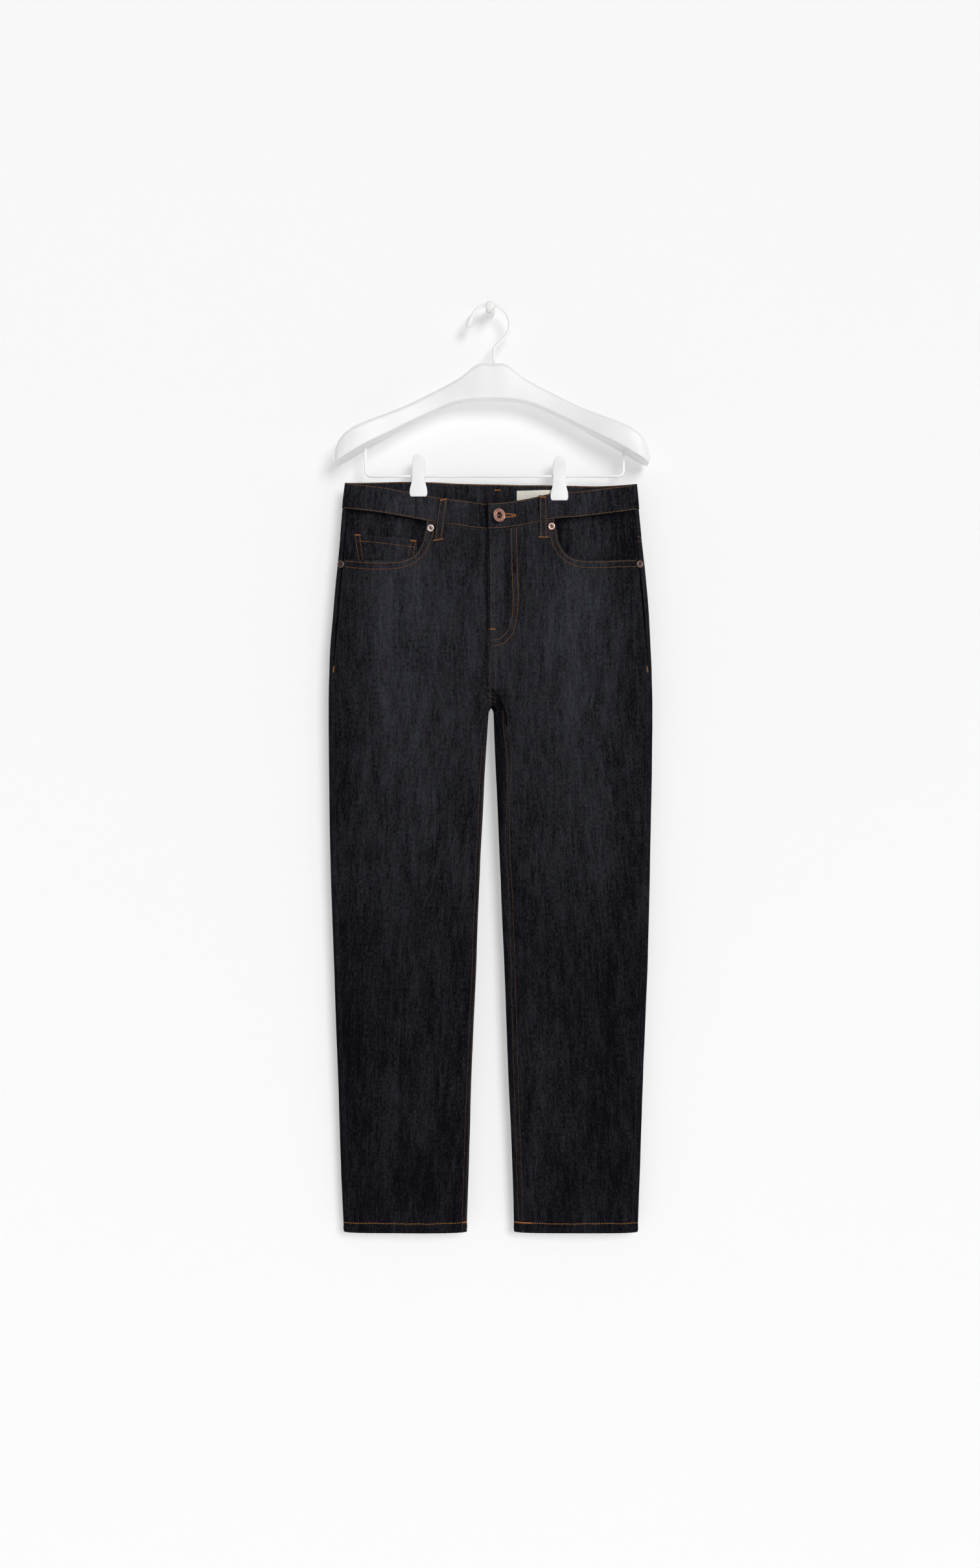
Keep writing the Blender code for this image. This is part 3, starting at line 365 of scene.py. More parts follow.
@dataclass
class HalfForm:
    """One half of the cloth's outer face, read off between rings at many heights."""

    side: Side
    heights: Array = field(init=False)
    rings: list[HalfRing] = field(init=False)
    totals: Array = field(init=False)
    samples: Array = field(init=False)

    def __post_init__(self) -> None:
        """Cuts the rings and samples each at even shares of its length."""
        above = np.arange(SECTIONS[0].z, CROTCH_Z, -KNOT_STEP)
        near = CROTCH_Z - np.array(KNOTS_BELOW_CROTCH)
        below = np.append(np.arange(near[-1] - 2 * KNOT_STEP, HEM_Z, -2 * KNOT_STEP), HEM_Z)
        self.heights = np.concatenate([above, near, below])
        self.rings = [HalfRing.cut(self.side, float(z)) for z in self.heights]
        self.totals = np.array([r.length[-1] for r in self.rings])
        share = np.linspace(0, 1, RING_SHARES)
        self.samples = np.array([
            [np.interp(share * r.length[-1], r.length, v) for v in (r.x, r.y, r.normal_x, r.normal_y)]
            for r in self.rings
        ])

    def between(self, z: Array) -> tuple[Array, Array]:
        """The ring above each height, and how far the height lies on the way to the next one."""
        row = np.clip(np.searchsorted(-self.heights, -z) - 1, 0, len(self.heights) - 2)
        gap = self.heights[row] - self.heights[row + 1]
        return row, np.clip((self.heights[row] - z) / gap, 0, 1)

    def total(self, z: Array) -> Array:
        """Length round the half ring at each height."""
        row, part = self.between(z)
        return self.totals[row] * (1 - part) + self.totals[row + 1] * part

    def at(self, z: Array, along: Array) -> tuple[Array, Array]:
        """Places on the outer face.

        Args:
            z: Heights.
            along: Lengths round the half ring there, past its end on a leg.

        Returns:
            The points and the outward directions, with a last axis of three.
        """
        z, along = np.broadcast_arrays(np.asarray(z, float), np.asarray(along, float))
        row, part = self.between(z)
        total = self.total(z)
        along = np.where((z < CROTCH_Z) & (along > total), along - total, along)
        spot = np.clip(along / total, 0, 1) * (RING_SHARES - 1)
        i = np.minimum(spot.astype(int), RING_SHARES - 2)
        f = spot - i
        values = []
        for n in range(4):
            table = self.samples[:, n]
            upper = table[row, i] * (1 - f) + table[row, i + 1] * f
            lower = table[row + 1, i] * (1 - f) + table[row + 1, i + 1] * f
            values.append(upper * (1 - part) + lower * part)
        x, y, nx, ny = values
        size = np.hypot(nx, ny)
        return np.stack([x, y, z], -1), np.stack([nx / size, ny / size, np.zeros_like(z)], -1)

    def along(self, x: Array, z: Array, face: Face) -> Array:
        """Lengths round the half ring where the front or the back wall has a given x."""
        x, z = np.broadcast_arrays(np.asarray(x, float), np.asarray(z, float))
        row, part = self.between(z)
        u = self.side.value * (x - middle_x(z))
        found = np.zeros(x.shape)
        for index in np.ndindex(x.shape):
            pair = []
            for ring in (self.rings[row[index]], self.rings[row[index] + 1]):
                if face is Face.FRONT:
                    pair.append(np.interp(u[index], ring.front_u, ring.front_length))
                else:
                    pair.append(np.interp(-u[index], -ring.back_u, ring.back_length))
            found[index] = pair[0] * (1 - part[index]) + pair[1] * part[index]
        return found

    def columns(self, span: Callable[[int], Point], shares: Array) -> Array:
        """For each ring, the lengths at shares of a span, closer together where the ring bends."""
        table = []
        for k, ring in enumerate(self.rings):
            total, weight = ring.length[-1], ring.spread[-1]
            start, end = (
                np.interp(a - total * (a > total), ring.length, ring.spread) + weight * (a > total)
                for a in span(k)
            )
            wanted = start * (1 - shares) + end * shares
            past = wanted > weight
            table.append(np.interp(wanted - weight * past, ring.spread, ring.length) + total * past)
        return np.array(table)

    def read(self, table: Array, z: Array) -> Array:
        """Values of a table of columns at heights that may differ from column to column."""
        row, part = self.between(z)
        places = np.broadcast_to(np.arange(table.shape[1]), z.shape)
        return table[row, places] * (1 - part) + table[row + 1, places] * part

    def outseam(self, k: int) -> float:
        """Length at which a ring meets the outseam."""
        ring = self.rings[k]
        return float(np.interp(ring.front_u[-1] - OUTSEAM_INSET, ring.front_u, ring.front_length))

    def inseam(self, k: int) -> float:
        """Length at which a ring meets the inseam, from its start at the inner end."""
        z, ring = self.heights[k], self.rings[k]
        if z >= CROTCH_Z:
            return 0
        inset = float(INSEAM_INSET[self.side](CROTCH_Z - z))
        return float(np.interp(ring.front_u[0] + inset, ring.front_u, ring.front_length))

    def seam_gap(self, k: int) -> float:
        """Half of the gap left at the inseam."""
        return SEAM_GAP / 2 * float(ease((CROTCH_Z - self.heights[k]) / INSEAM_START))

    def front_span(self, k: int) -> Point:
        """Start and end of the front panel on a ring."""
        return self.inseam(k) + self.seam_gap(k), self.outseam(k) - SEAM_GAP / 2

    def back_span(self, k: int) -> Point:
        """Start and end of the back panel on a ring."""
        return self.outseam(k) + SEAM_GAP / 2, self.totals[k] + self.inseam(k) - self.seam_gap(k)


# Creases: soft troughs where the height is negative, ridges where it is positive


class Crease(NamedTuple):
    """A crease from one point to another, seen from the front."""

    x: float
    z: float
    to_x: float
    to_z: float
    width: float
    height: float


CREASES = {
    Face.FRONT: table_of(
        Crease,
        (-14, -566, -112, -520, 9, -1.5), (-18, -548, -88, -500, 8, 0.9),
        (-24, -586, -130, -572, 10, -1.1), (30, -560, 118, -512, 9, -1.4), (36, -584, 140, -560, 10, -1),
        (28, -536, 84, -486, 7, 0.8), (44, -420, 47, -500, 6, -0.9), (26, -338, 29, -472, 4, -0.8),
        (13, -335, 12, -475, 6, 0.5), (4, -356, 27, -374, 4, -0.5), (6, -394, 28, -408, 4, -0.5),
        (6, -430, 26, -442, 4, -0.5), (20, -380, 16, -470, 7, -0.8), (-214, -410, -128, -446, 9, -0.9),
        (-222, -470, -150, -500, 12, 0.8), (216, -405, 140, -440, 9, -0.8),
        (224, -520, 160, -536, 12, -0.9), (-60, -352, -52, -440, 8, -0.7),
        (-210, -620, -120, -640, 14, -0.9), (-40, -640, -120, -668, 13, 0.8),
        (60, -660, 190, -690, 15, -0.9), (-190, -860, -60, -880, 13, -1.1),
        (-180, -915, -50, -902, 12, 0.9), (-205, -958, -90, -970, 14, -0.9),
        (60, -868, 196, -850, 13, -1), (50, -912, 170, -930, 12, 0.9), (84, -972, 208, -960, 13, -0.9),
        (-196, -1070, -70, -1100, 15, -0.8), (70, -1120, 190, -1085, 15, -0.8),
        (-200, -1190, -110, -1215, 13, 0.7), (60, -1230, 180, -1246, 14, -0.8),
        (-180, -1280, -60, -1268, 12, -0.7),
    ),
    Face.BACK: table_of(
        Crease,
        (-12, -575, -104, -548, 10, -1.7), (-20, -600, -140, -596, 11, -1.4),
        (16, -572, 110, -540, 10, -1.7), (22, -602, 150, -590, 11, -1.3), (-30, -628, -150, -650, 12, 1),
        (36, -632, 160, -646, 12, 1), (-200, -560, -120, -584, 13, -0.9),
        (205, -566, 130, -580, 13, -0.9), (-200, -850, -60, -836, 12, -1.5),
        (-190, -880, -50, -884, 11, 1.1), (-196, -912, -70, -926, 12, -1.3),
        (56, -842, 200, -856, 12, -1.4), (60, -884, 190, -880, 11, 1.1), (66, -922, 204, -908, 12, -1.3),
        (-180, -1060, -60, -1090, 15, -0.9), (60, -1100, 190, -1070, 15, -0.9),
        (-190, -1220, -70, -1240, 14, -0.8), (70, -1250, 196, -1226, 14, -0.8),
    ),
}
CLIP_PULL_REACH, CLIP_PULL_WIDTH, CLIP_PULL_DEPTH = 95, 13, 1.3
FLY_LAP_HEIGHT, FLY_LAP_WIDTH, FLY_BOTTOM_Z = 0.9, 40, -484
FLY_EDGE_DROP = 0.5
CLIP_PULL_LEANS = (-0.32, 0.3)
RELIEF_AT_TOP, RELIEF_RISE = 0.35, 40


class Undulation(NamedTuple):
    """Slow unevenness of the cloth: size across, size down and height."""

    across: float
    down: float
    height: float


UNDULATIONS = (Undulation(88, 210, 1.1), Undulation(34, 74, 0.35), Undulation(13, 21, 0.12))


@dataclass
class JeansForm:
    """The cloth's outer face with its creases, for pieces and stitches to lie on."""

    halves: dict[Side, HalfForm] = field(init=False)

    def __post_init__(self) -> None:
        """Makes both halves."""
        self.halves = {side: HalfForm(side) for side in Side}

    @staticmethod
    def creased(x: Array, z: Array, face: Face) -> Array:
        """Height that the creases of one wall give."""
        height = np.zeros(np.shape(x))
        for c in CREASES[face]:
            run = np.array([c.to_x - c.x, c.to_z - c.z], float)
            length = float(np.hypot(*run))
            run /= length
            t = ((x - c.x) * run[0] + (z - c.z) * run[1]) / length
            off = (x - c.x) * run[1] - (z - c.z) * run[0]
            bend = 0.12 * length * np.sin(math.pi * np.clip(t, 0, 1)) * np.sign(c.height)
            ends = np.sin(math.pi * np.clip(t, 0, 1)) ** 0.8
            height += c.height * ends * np.exp(-(((off - bend) / c.width) ** 2))
        return height

    def relief(self, x: Array, z: Array, front: Array) -> Array:
        """How far the cloth stands out of or into its plain form.

        Args:
            x: Places across, seen from the front.
            z: Heights.
            front: True where the place is on the front wall.

        Returns:
            The height at each place.
        """
        x, z, front = np.broadcast_arrays(x, z, front)
        height = np.where(front, self.creased(x, z, Face.FRONT), self.creased(x, z, Face.BACK))
        for n, wave in enumerate(UNDULATIONS):
            seed = 11 + n
            shift = np.where(front, 0, 31.5)
            height = height + wave.height * smooth_noise(x / wave.across + shift, z / wave.down, seed)
        for clip in CLIPS:
            below = np.clip((clip.bottom - z) / CLIP_PULL_REACH, 0, 1)
            depth = CLIP_PULL_DEPTH * np.sin(math.pi * below) ** 0.7
            for lean in CLIP_PULL_LEANS:
                middle = clip.x + lean * (clip.bottom - z)
                height = height - depth * np.exp(-(((x - middle) / CLIP_PULL_WIDTH) ** 2)) * 0.6
        loose = 1 - np.clip(pinch(x, z) * 1.4, 0, 1)
        top = ease((BAND_TOP[Face.BACK](x) - 4 - z) / RELIEF_RISE)
        height = height * loose * (RELIEF_AT_TOP + (1 - RELIEF_AT_TOP) * top)
        return height + np.where(front, self.fly_lap(x, z), 0)

    @staticmethod
    def fly_lap(x: Array, z: Array) -> Array:
        """The left front lies over the right one down the fly, and falls away past its stitches."""
        off = x - middle_x(z)
        down = ease((z - FLY_BOTTOM_Z + 12) / 24)
        over = FLY_LAP_HEIGHT * ease((FLY_LAP_WIDTH + 8 - off) / 16) * (off > 0)
        under = -FLY_EDGE_DROP * ease((off + 16) / 16) * (off <= 0)
        seam = 0.45 * ease((14 - off) / 8) * (off > 0) - 0.3 * ease((off + 8) / 8) * (off <= 0)
        seam = seam * ease((z - CROTCH_Z) / 20)
        return (over + under) * down + seam * (1 - down)

    def cloth(self, side: Side, z: Array, along: Array) -> tuple[Array, Array]:
        """Points on the creased outer face of one side, and the outward directions there."""
        form = self.halves[side]
        z, along = np.broadcast_arrays(np.asarray(z, float), np.asarray(along, float))
        points, normals = form.at(z, along)
        front = normals[..., 1] < 0
        height = self.relief(points[..., 0], z, front)
        return points + normals * height[..., None], normals

    def spots(self, places: Sequence[Point], face: Face) -> tuple[Array, Array]:
        """Points on the creased cloth at places seen from the front, and the outward directions."""
        x, z = np.array(places, float).T
        points, normals = np.zeros((len(x), 3)), np.zeros((len(x), 3))
        for side in Side:
            chosen = (x > middle_x(z)) == (side is Side.LEFT)
            if chosen.any():
                along = self.halves[side].along(x[chosen], z[chosen], face)
                points[chosen], normals[chosen] = self.cloth(side, z[chosen], along)
        return points, normals

    def grid(self, x: Array, z: Array, face: Face) -> tuple[Array, Array]:
        """Points on the creased cloth at a grid of places, and the outward directions."""
        points, normals = self.spots(np.stack([x.ravel(), z.ravel()], -1), face)
        return points.reshape(*x.shape, 3), normals.reshape(*x.shape, 3)


# Wash of the denim, with painted shade: how pale it is, down the middle of each wall and towards its sides,
# where the darkening is partly painted shade


class WashLevel(NamedTuple):
    """How pale the cloth is at a height."""

    z: float
    pale: float


class WashAndShadePatch(NamedTuple):
    """A soft patch, paler or darker than the cloth round it: the denim's fading on the legs, and painted
    shade and highlight at the fly and the crotch.
    """

    x: float
    z: float
    half_width: float
    half_height: float
    pale: float


WASH_DOWN = table_of(
    WashLevel,
    (-250, 0.92), (-300, 0.86), (-340, 0.76), (-382, 0.90), (-424, 0.98), (-508, 0.90), (-592, 0.76),
    (-676, 0.62), (-760, 0.50), (-844, 0.38), (-928, 0.15), (-1012, 0.13), (-1096, 0.16), (-1180, 0.07),
    (-1264, 0.02), (-1342, 0.14),
)
# Painted light among these patches: at x -4.2 a painted shadow along the fly's edge; at x 5, 12, 26 and 46
# paler and darker bands round the fly's puckers, partly abrasion and partly painted highlight and shade; at x
# 9 and 11.5 painted shade of the inner thigh below the crotch. The patches on the legs are the denim's
# fading.
WASH_AND_SHADE_PATCHES = table_of(
    WashAndShadePatch,
    (-192, -825, 20, 42, 0.14), (166, -806, 24, 36, 0.15), (-192, -1080, 26, 80, -0.14),
    (168, -1020, 24, 130, -0.12), (150, -1100, 34, 50, -0.10), (69, -1090, 22, 110, 0.12),
    (-110, -1080, 30, 80, 0.05), (-90, -1258, 40, 34, -0.06), (12, -392, 7, 66, 0.46),
    (26, -400, 5, 80, -0.55), (46, -436, 10, 34, -0.28), (9, -579, 7, 14, -0.25),
    (11.5, -662, 8, 84, -1.3), (-4.2, -400, 2.2, 120, -0.95), (5, -440, 3, 90, 0.40),
    (69, -1180, 26, 90, 0.22), (120, -1210, 14, 60, 0.16), (-150, -1230, 18, 70, 0.14),
    (-120, -1290, 60, 26, -0.10),
)
# Darker towards each wall's sides and towards the middle: partly the denim's fading, partly painted shade
# where the cloth turns away.
PALEST_X = 136
WASH_AND_SHADE_LEAST = -0.14
PALE_FALLOFF_INWARD, PALE_FALLOFF_OUTWARD = (74, 0.62), (46, 0.26)
wash_down = column(WASH_DOWN, "z", "pale")


def wash(x: Array, z: Array) -> Array:
    """How pale the denim is at a place, from 0 to about 1, with painted shade at the fly, at the crotch and
    towards each wall's sides.
    """
    off = np.abs(x) - PALEST_X
    width, least = (np.where(off > 0, a, b) for a, b in zip(PALE_FALLOFF_OUTWARD, PALE_FALLOFF_INWARD))
    pale = wash_down(z) * (least + (1 - least) * np.exp(-((off / width) ** 2)))
    for p in WASH_AND_SHADE_PATCHES:
        pale = pale + p.pale * np.exp(-(((x - p.x) / p.half_width) ** 2) - ((z - p.z) / p.half_height) ** 2)
    return np.clip(pale, WASH_AND_SHADE_LEAST, 1)


# Meshes


@dataclass
class Patch:
    """A grid of places on the cloth, as its two skins, with what the finish reads there."""

    outer: Array
    inner: Array
    weave: Array
    pale: Array
    seam: Array


def linked(name: str, data: bpy.types.ID) -> Piece:
    """A new object in the scene."""
    thing = bpy.data.objects.new(name, data)
    bpy.context.scene.collection.objects.link(thing)
    return thing


def link_mesh(name: str, points: Array, faces: list, material: Material) -> Piece:
    """Makes a smooth mesh object.

    Args:
        name: The piece's name.
        points: Places in millimetres, in rows of three.
        faces: Faces as lists of point numbers.
        material: The finish.

    Returns:
        The linked object.
    """
    mesh = bpy.data.meshes.new(name)
    mesh.from_pydata((np.asarray(points) * MM).tolist(), [], faces)
    mesh.polygons.foreach_set("use_smooth", np.ones(len(mesh.polygons), bool))
    mesh.materials.append(material)
    mesh.update()
    return linked(name, mesh)


def tube_faces(rings: int, steps: int) -> list[list[int]]:
    """Faces between neighbouring rings of a tube, as lists of point numbers."""
    k = np.arange(steps)
    on = (k + 1) % steps
    quads = np.stack([k, k + steps, on + steps, on], -1)
    return [face for n in range(rings - 1) for face in (quads + n * steps).tolist()]


def lofted(name: str, rings: Sequence[Array], material: Material, flip: bool = False) -> Piece:
    """A closed piece through rings of points.

    Args:
        name: The piece's name.
        rings: Its sections in order, each with the same number of points.
        material: The finish.
        flip: Whether the sections run the other way round.

    Returns:
        The piece.
    """
    k = np.arange(len(rings[0]))
    sides = tube_faces(len(rings), len(k))
    ends = [k.tolist(), (k[::-1] + (len(rings) - 1) * len(k)).tolist()]
    if flip:
        sides, ends = [[a, d, c, b] for a, b, c, d in sides], [end[::-1] for end in ends]
    return link_mesh(name, np.concatenate(rings), sides + ends, material)


def corner_arcs(corners: Sequence[tuple[float, float, float, float]], steps: int) -> Array:
    """Points round a section whose corners are given by centre, radius and first angle in degrees."""
    arcs = [(x, y, r, math.radians(first - 90 * n / steps)) for x, y, r, first in corners
            for n in range(steps + 1)]
    return np.array([(x + r * math.cos(t), y + r * math.sin(t)) for x, y, r, t in arcs])


def store(piece: Piece, name: str, values: Array) -> None:
    """Stores one value or one vector for each point of a piece, for its material to read."""
    flat = np.asarray(values, np.float32)
    kind, key = ("FLOAT_VECTOR", "vector") if flat.ndim == 2 else ("FLOAT", "value")
    made = piece.data.attributes.new(name, kind, "POINT")
    made.data.foreach_set(key, flat.ravel())


def settle(piece: Piece, replaces: Sequence[str] = ()) -> Piece:
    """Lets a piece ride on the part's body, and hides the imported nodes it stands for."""
    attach(piece, BODY)
    if replaces:
        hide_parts(*replaces)
    logging.info("%s: %d points", piece.name, len(piece.data.vertices))
    return piece


RIM_STEPS = (0.10, 0.5, 0.90)
RIM_BULGES = (0.72, 1, 0.72)


def shell(name: str, patch: Patch, material: Material, rim: float = 0.5) -> Piece:
    """A closed sheet of cloth with rounded edges from its two skins.

    Args:
        name: The piece's name.
        patch: The skins and what the finish reads.
        material: The finish.
        rim: How far the edge rounds off.

    Returns:
        The piece, with its weave, pale and seam attributes.
    """
    rows, cols = patch.pale.shape
    out = np.zeros_like(patch.outer)
    for grid_axis, first, last in ((0, 0, rows - 1), (1, 0, cols - 1)):
        for edge, inside in ((first, first + 1), (last, last - 1)):
            a, b = (np.take(patch.outer, n, axis=grid_axis) for n in (edge, inside))
            step = (a - b) / np.maximum(np.linalg.norm(a - b, axis=-1, keepdims=True), 1e-9)
            index = (edge, slice(None)) if grid_axis == 0 else (slice(None), edge)
            out[index] += step
    loop = [(0, c) for c in range(cols)] + [(r, cols - 1) for r in range(1, rows)]
    loop += [(rows - 1, c) for c in range(cols - 2, -1, -1)] + [(r, 0) for r in range(rows - 2, 0, -1)]
    r_index, c_index = np.array(loop).T
    away = out[r_index, c_index]
    away /= np.maximum(np.linalg.norm(away, axis=-1, keepdims=True), 1e-9)
    outer, inner = patch.outer.copy(), patch.inner.copy()
    outer[r_index, c_index] -= away * rim
    inner[r_index, c_index] -= away * rim
    top, low = outer[r_index, c_index], inner[r_index, c_index]
    rims = [
        top * (1 - t) + low * t + away * rim * bulge for t, bulge in zip(RIM_STEPS, RIM_BULGES)
    ]
    size = rows * cols
    points = np.concatenate([outer.reshape(-1, 3), inner.reshape(-1, 3)] + rims)
    number = np.arange(size).reshape(rows, cols)
    a, b, c, d = number[:-1, :-1], number[:-1, 1:], number[1:, 1:], number[1:, :-1]
    front = np.stack([a, b, c, d], -1).reshape(-1, 4)
    back = np.stack([d, c, b, a], -1).reshape(-1, 4) + size
    edge = number[r_index, c_index]
    n = len(edge)
    lines = [edge] + [2 * size + n * k + np.arange(n) for k in range(len(rims))] + [edge + size]
    sides = [
        np.stack([p, q, np.roll(q, -1), np.roll(p, -1)], -1) for p, q in zip(lines, lines[1:])
    ]
    faces = np.concatenate([front, back] + sides)
    across = np.cross(outer[0, 1] - outer[0, 0], outer[1, 0] - outer[0, 0])
    if np.dot(across, outer[0, 0] - inner[0, 0]) < 0:
        faces = faces[:, ::-1]
    piece = link_mesh(name, points, faces.tolist(), material)
    spread = [np.arange(size)] * 2 + [edge] * len(rims)
    weave = np.concatenate([patch.weave.reshape(-1, 2)[s] for s in spread]) * MM
    store(piece, "weave", np.column_stack([weave, np.zeros(len(weave))]))
    # The pale attribute carries the cloth's fading and the painted shade and highlight that the pieces add to
    # it.
    store(piece, "pale", np.concatenate([patch.pale.ravel()[s] for s in spread]))
    # Rims count fully as seam edges, so the finish lightens every cut edge: partly abrasion, partly a painted
    # highlight.
    worn = [patch.seam.ravel()[s] for s in spread[:2]] + [np.ones(n)] * len(rims)
    store(piece, "seam", np.concatenate(worn))
    return piece


def edge_nearness(points: Array, edges: str, reach: float = 3) -> Array:
    """How near each place of a grid is to some of its edges.

    Args:
        points: The grid of places.
        edges: Letters of the edges that count: t, b, l and r.
        reach: How far the nearness reaches.

    Returns:
        1 at an edge, falling to 0.
    """
    down = np.linalg.norm(np.diff(points, axis=0), axis=-1)
    over = np.linalg.norm(np.diff(points, axis=1), axis=-1)
    down = np.concatenate([np.zeros((1, points.shape[1])), np.cumsum(down, 0)])
    over = np.concatenate([np.zeros((points.shape[0], 1)), np.cumsum(over, 1)], 1)
    offs = {"t": down, "b": down[-1:] - down, "l": over, "r": over[:, -1:] - over}
    nearest = np.min([offs[e] for e in edges], axis=0)
    return np.exp(-((nearest / reach) ** 2))


def shares(count: int, lip: float = 0.006) -> Array:
    """Even shares from 0 to 1, with one more just inside each end."""
    even = np.linspace(0, 1, count + 1)
    return np.concatenate([[0, lip], even[1:-1], [1 - lip, 1]])


def cloth_piece(
    name: str, patch: Patch, material: Material, rim: float,
) -> Piece:
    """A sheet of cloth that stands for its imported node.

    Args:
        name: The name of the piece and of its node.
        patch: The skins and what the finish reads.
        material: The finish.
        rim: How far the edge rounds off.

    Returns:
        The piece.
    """
    piece = settle(shell(name, patch, material, rim), [name])
    return piece


# Shader node groups and finishes


@dataclass
class Wiring:
    """Adds nodes to a material's or a group's tree and joins them."""

    tree: Group

    def add(self, kind: str, **values: object) -> Node:
        """A shader node with some of its properties set."""
        node = self.tree.nodes.new(f"ShaderNode{kind}")
        for name, value in values.items():
            setattr(node, name, value)
        return node

    def put(self, socket: Output, value: object) -> None:
        """Sets an input or links it to an output."""
        if isinstance(value, Output):
            self.tree.links.new(value, socket)
        else:
            socket.default_value = value

    def feed(self, node: Node, **inputs: object) -> Node:
        """Sets or links a node's inputs by name, with spaces written as low lines."""
        for name, value in inputs.items():
            self.put(node.inputs[name.replace("_", " ")], value)
        return node

    def math(self, operation: str, *values: object, clamp: bool = False) -> Output:
        """The result of a Math node."""
        node = self.add("Math", operation=operation, use_clamp=clamp)
        for socket, value in zip(node.inputs, values):
            self.put(socket, value)
        return node.outputs[0]

    def vector(self, operation: str, *values: object) -> Output:
        """The result of a Vector Math node."""
        node = self.add("VectorMath", operation=operation)
        for socket, value in zip(node.inputs, values):
            self.put(socket, value)
        return node.outputs[0]

    def scaled(self, vector: Output, *scale: float) -> Output:
        """A vector multiplied part by part."""
        return self.vector("MULTIPLY", vector, (*scale, 1))

    def noise(
        self, vector: Output, scale: float | Output, detail: float = 2, rough: float = 0.5
    ) -> Output:
        """The value of a noise texture."""
        node = self.add("TexNoise")
        self.feed(node, Vector=vector, Scale=scale, Detail=detail, Roughness=rough)
        return node.outputs["Fac"]

    def mix(self, share: object, a: object, b: object) -> Output:
        """A mix of two colours."""
        node = self.add("Mix", data_type="RGBA")
        for socket, value in zip((node.inputs[0], node.inputs[6], node.inputs[7]), (share, a, b)):
            self.put(socket, value)
        return node.outputs[2]

    def ramp(self, value: object, low: float, high: float) -> Output:
        """A value stretched so that low gives 0 and high gives 1."""
        node = self.add("MapRange")
        self.feed(node, Value=value, From_Min=low, From_Max=high)
        return node.outputs[0]

    def read(self, name: str, vector: bool = False) -> Output:
        """An attribute that a piece stores."""
        node = self.add("Attribute", attribute_name=name)
        return node.outputs["Vector" if vector else "Fac"]

    def place(self, group: Group, **inputs: object) -> Node:
        """A node group with its inputs set or linked."""
        return self.feed(self.add("Group", node_tree=group), **inputs)


def new_group(name: str, given: dict[str, float | None], made: Sequence[str]) -> tuple[Wiring, Node, Node]:
    """An empty shader node group.

    Args:
        name: The group's name.
        given: Its inputs with their values, or None for a vector.
        made: Its outputs, which are values.

    Returns:
        Its wiring, its input node and its output node.
    """
    tree = bpy.data.node_groups.new(name, "ShaderNodeTree")
    for word, value in given.items():
        kind = "NodeSocketVector" if value is None else "NodeSocketFloat"
        socket = tree.interface.new_socket(word, in_out="INPUT", socket_type=kind)
        if value is not None:
            socket.default_value = value
    for word in made:
        tree.interface.new_socket(word, in_out="OUTPUT", socket_type="NodeSocketFloat")
    return Wiring(tree), tree.nodes.new("NodeGroupInput"), tree.nodes.new("NodeGroupOutput")


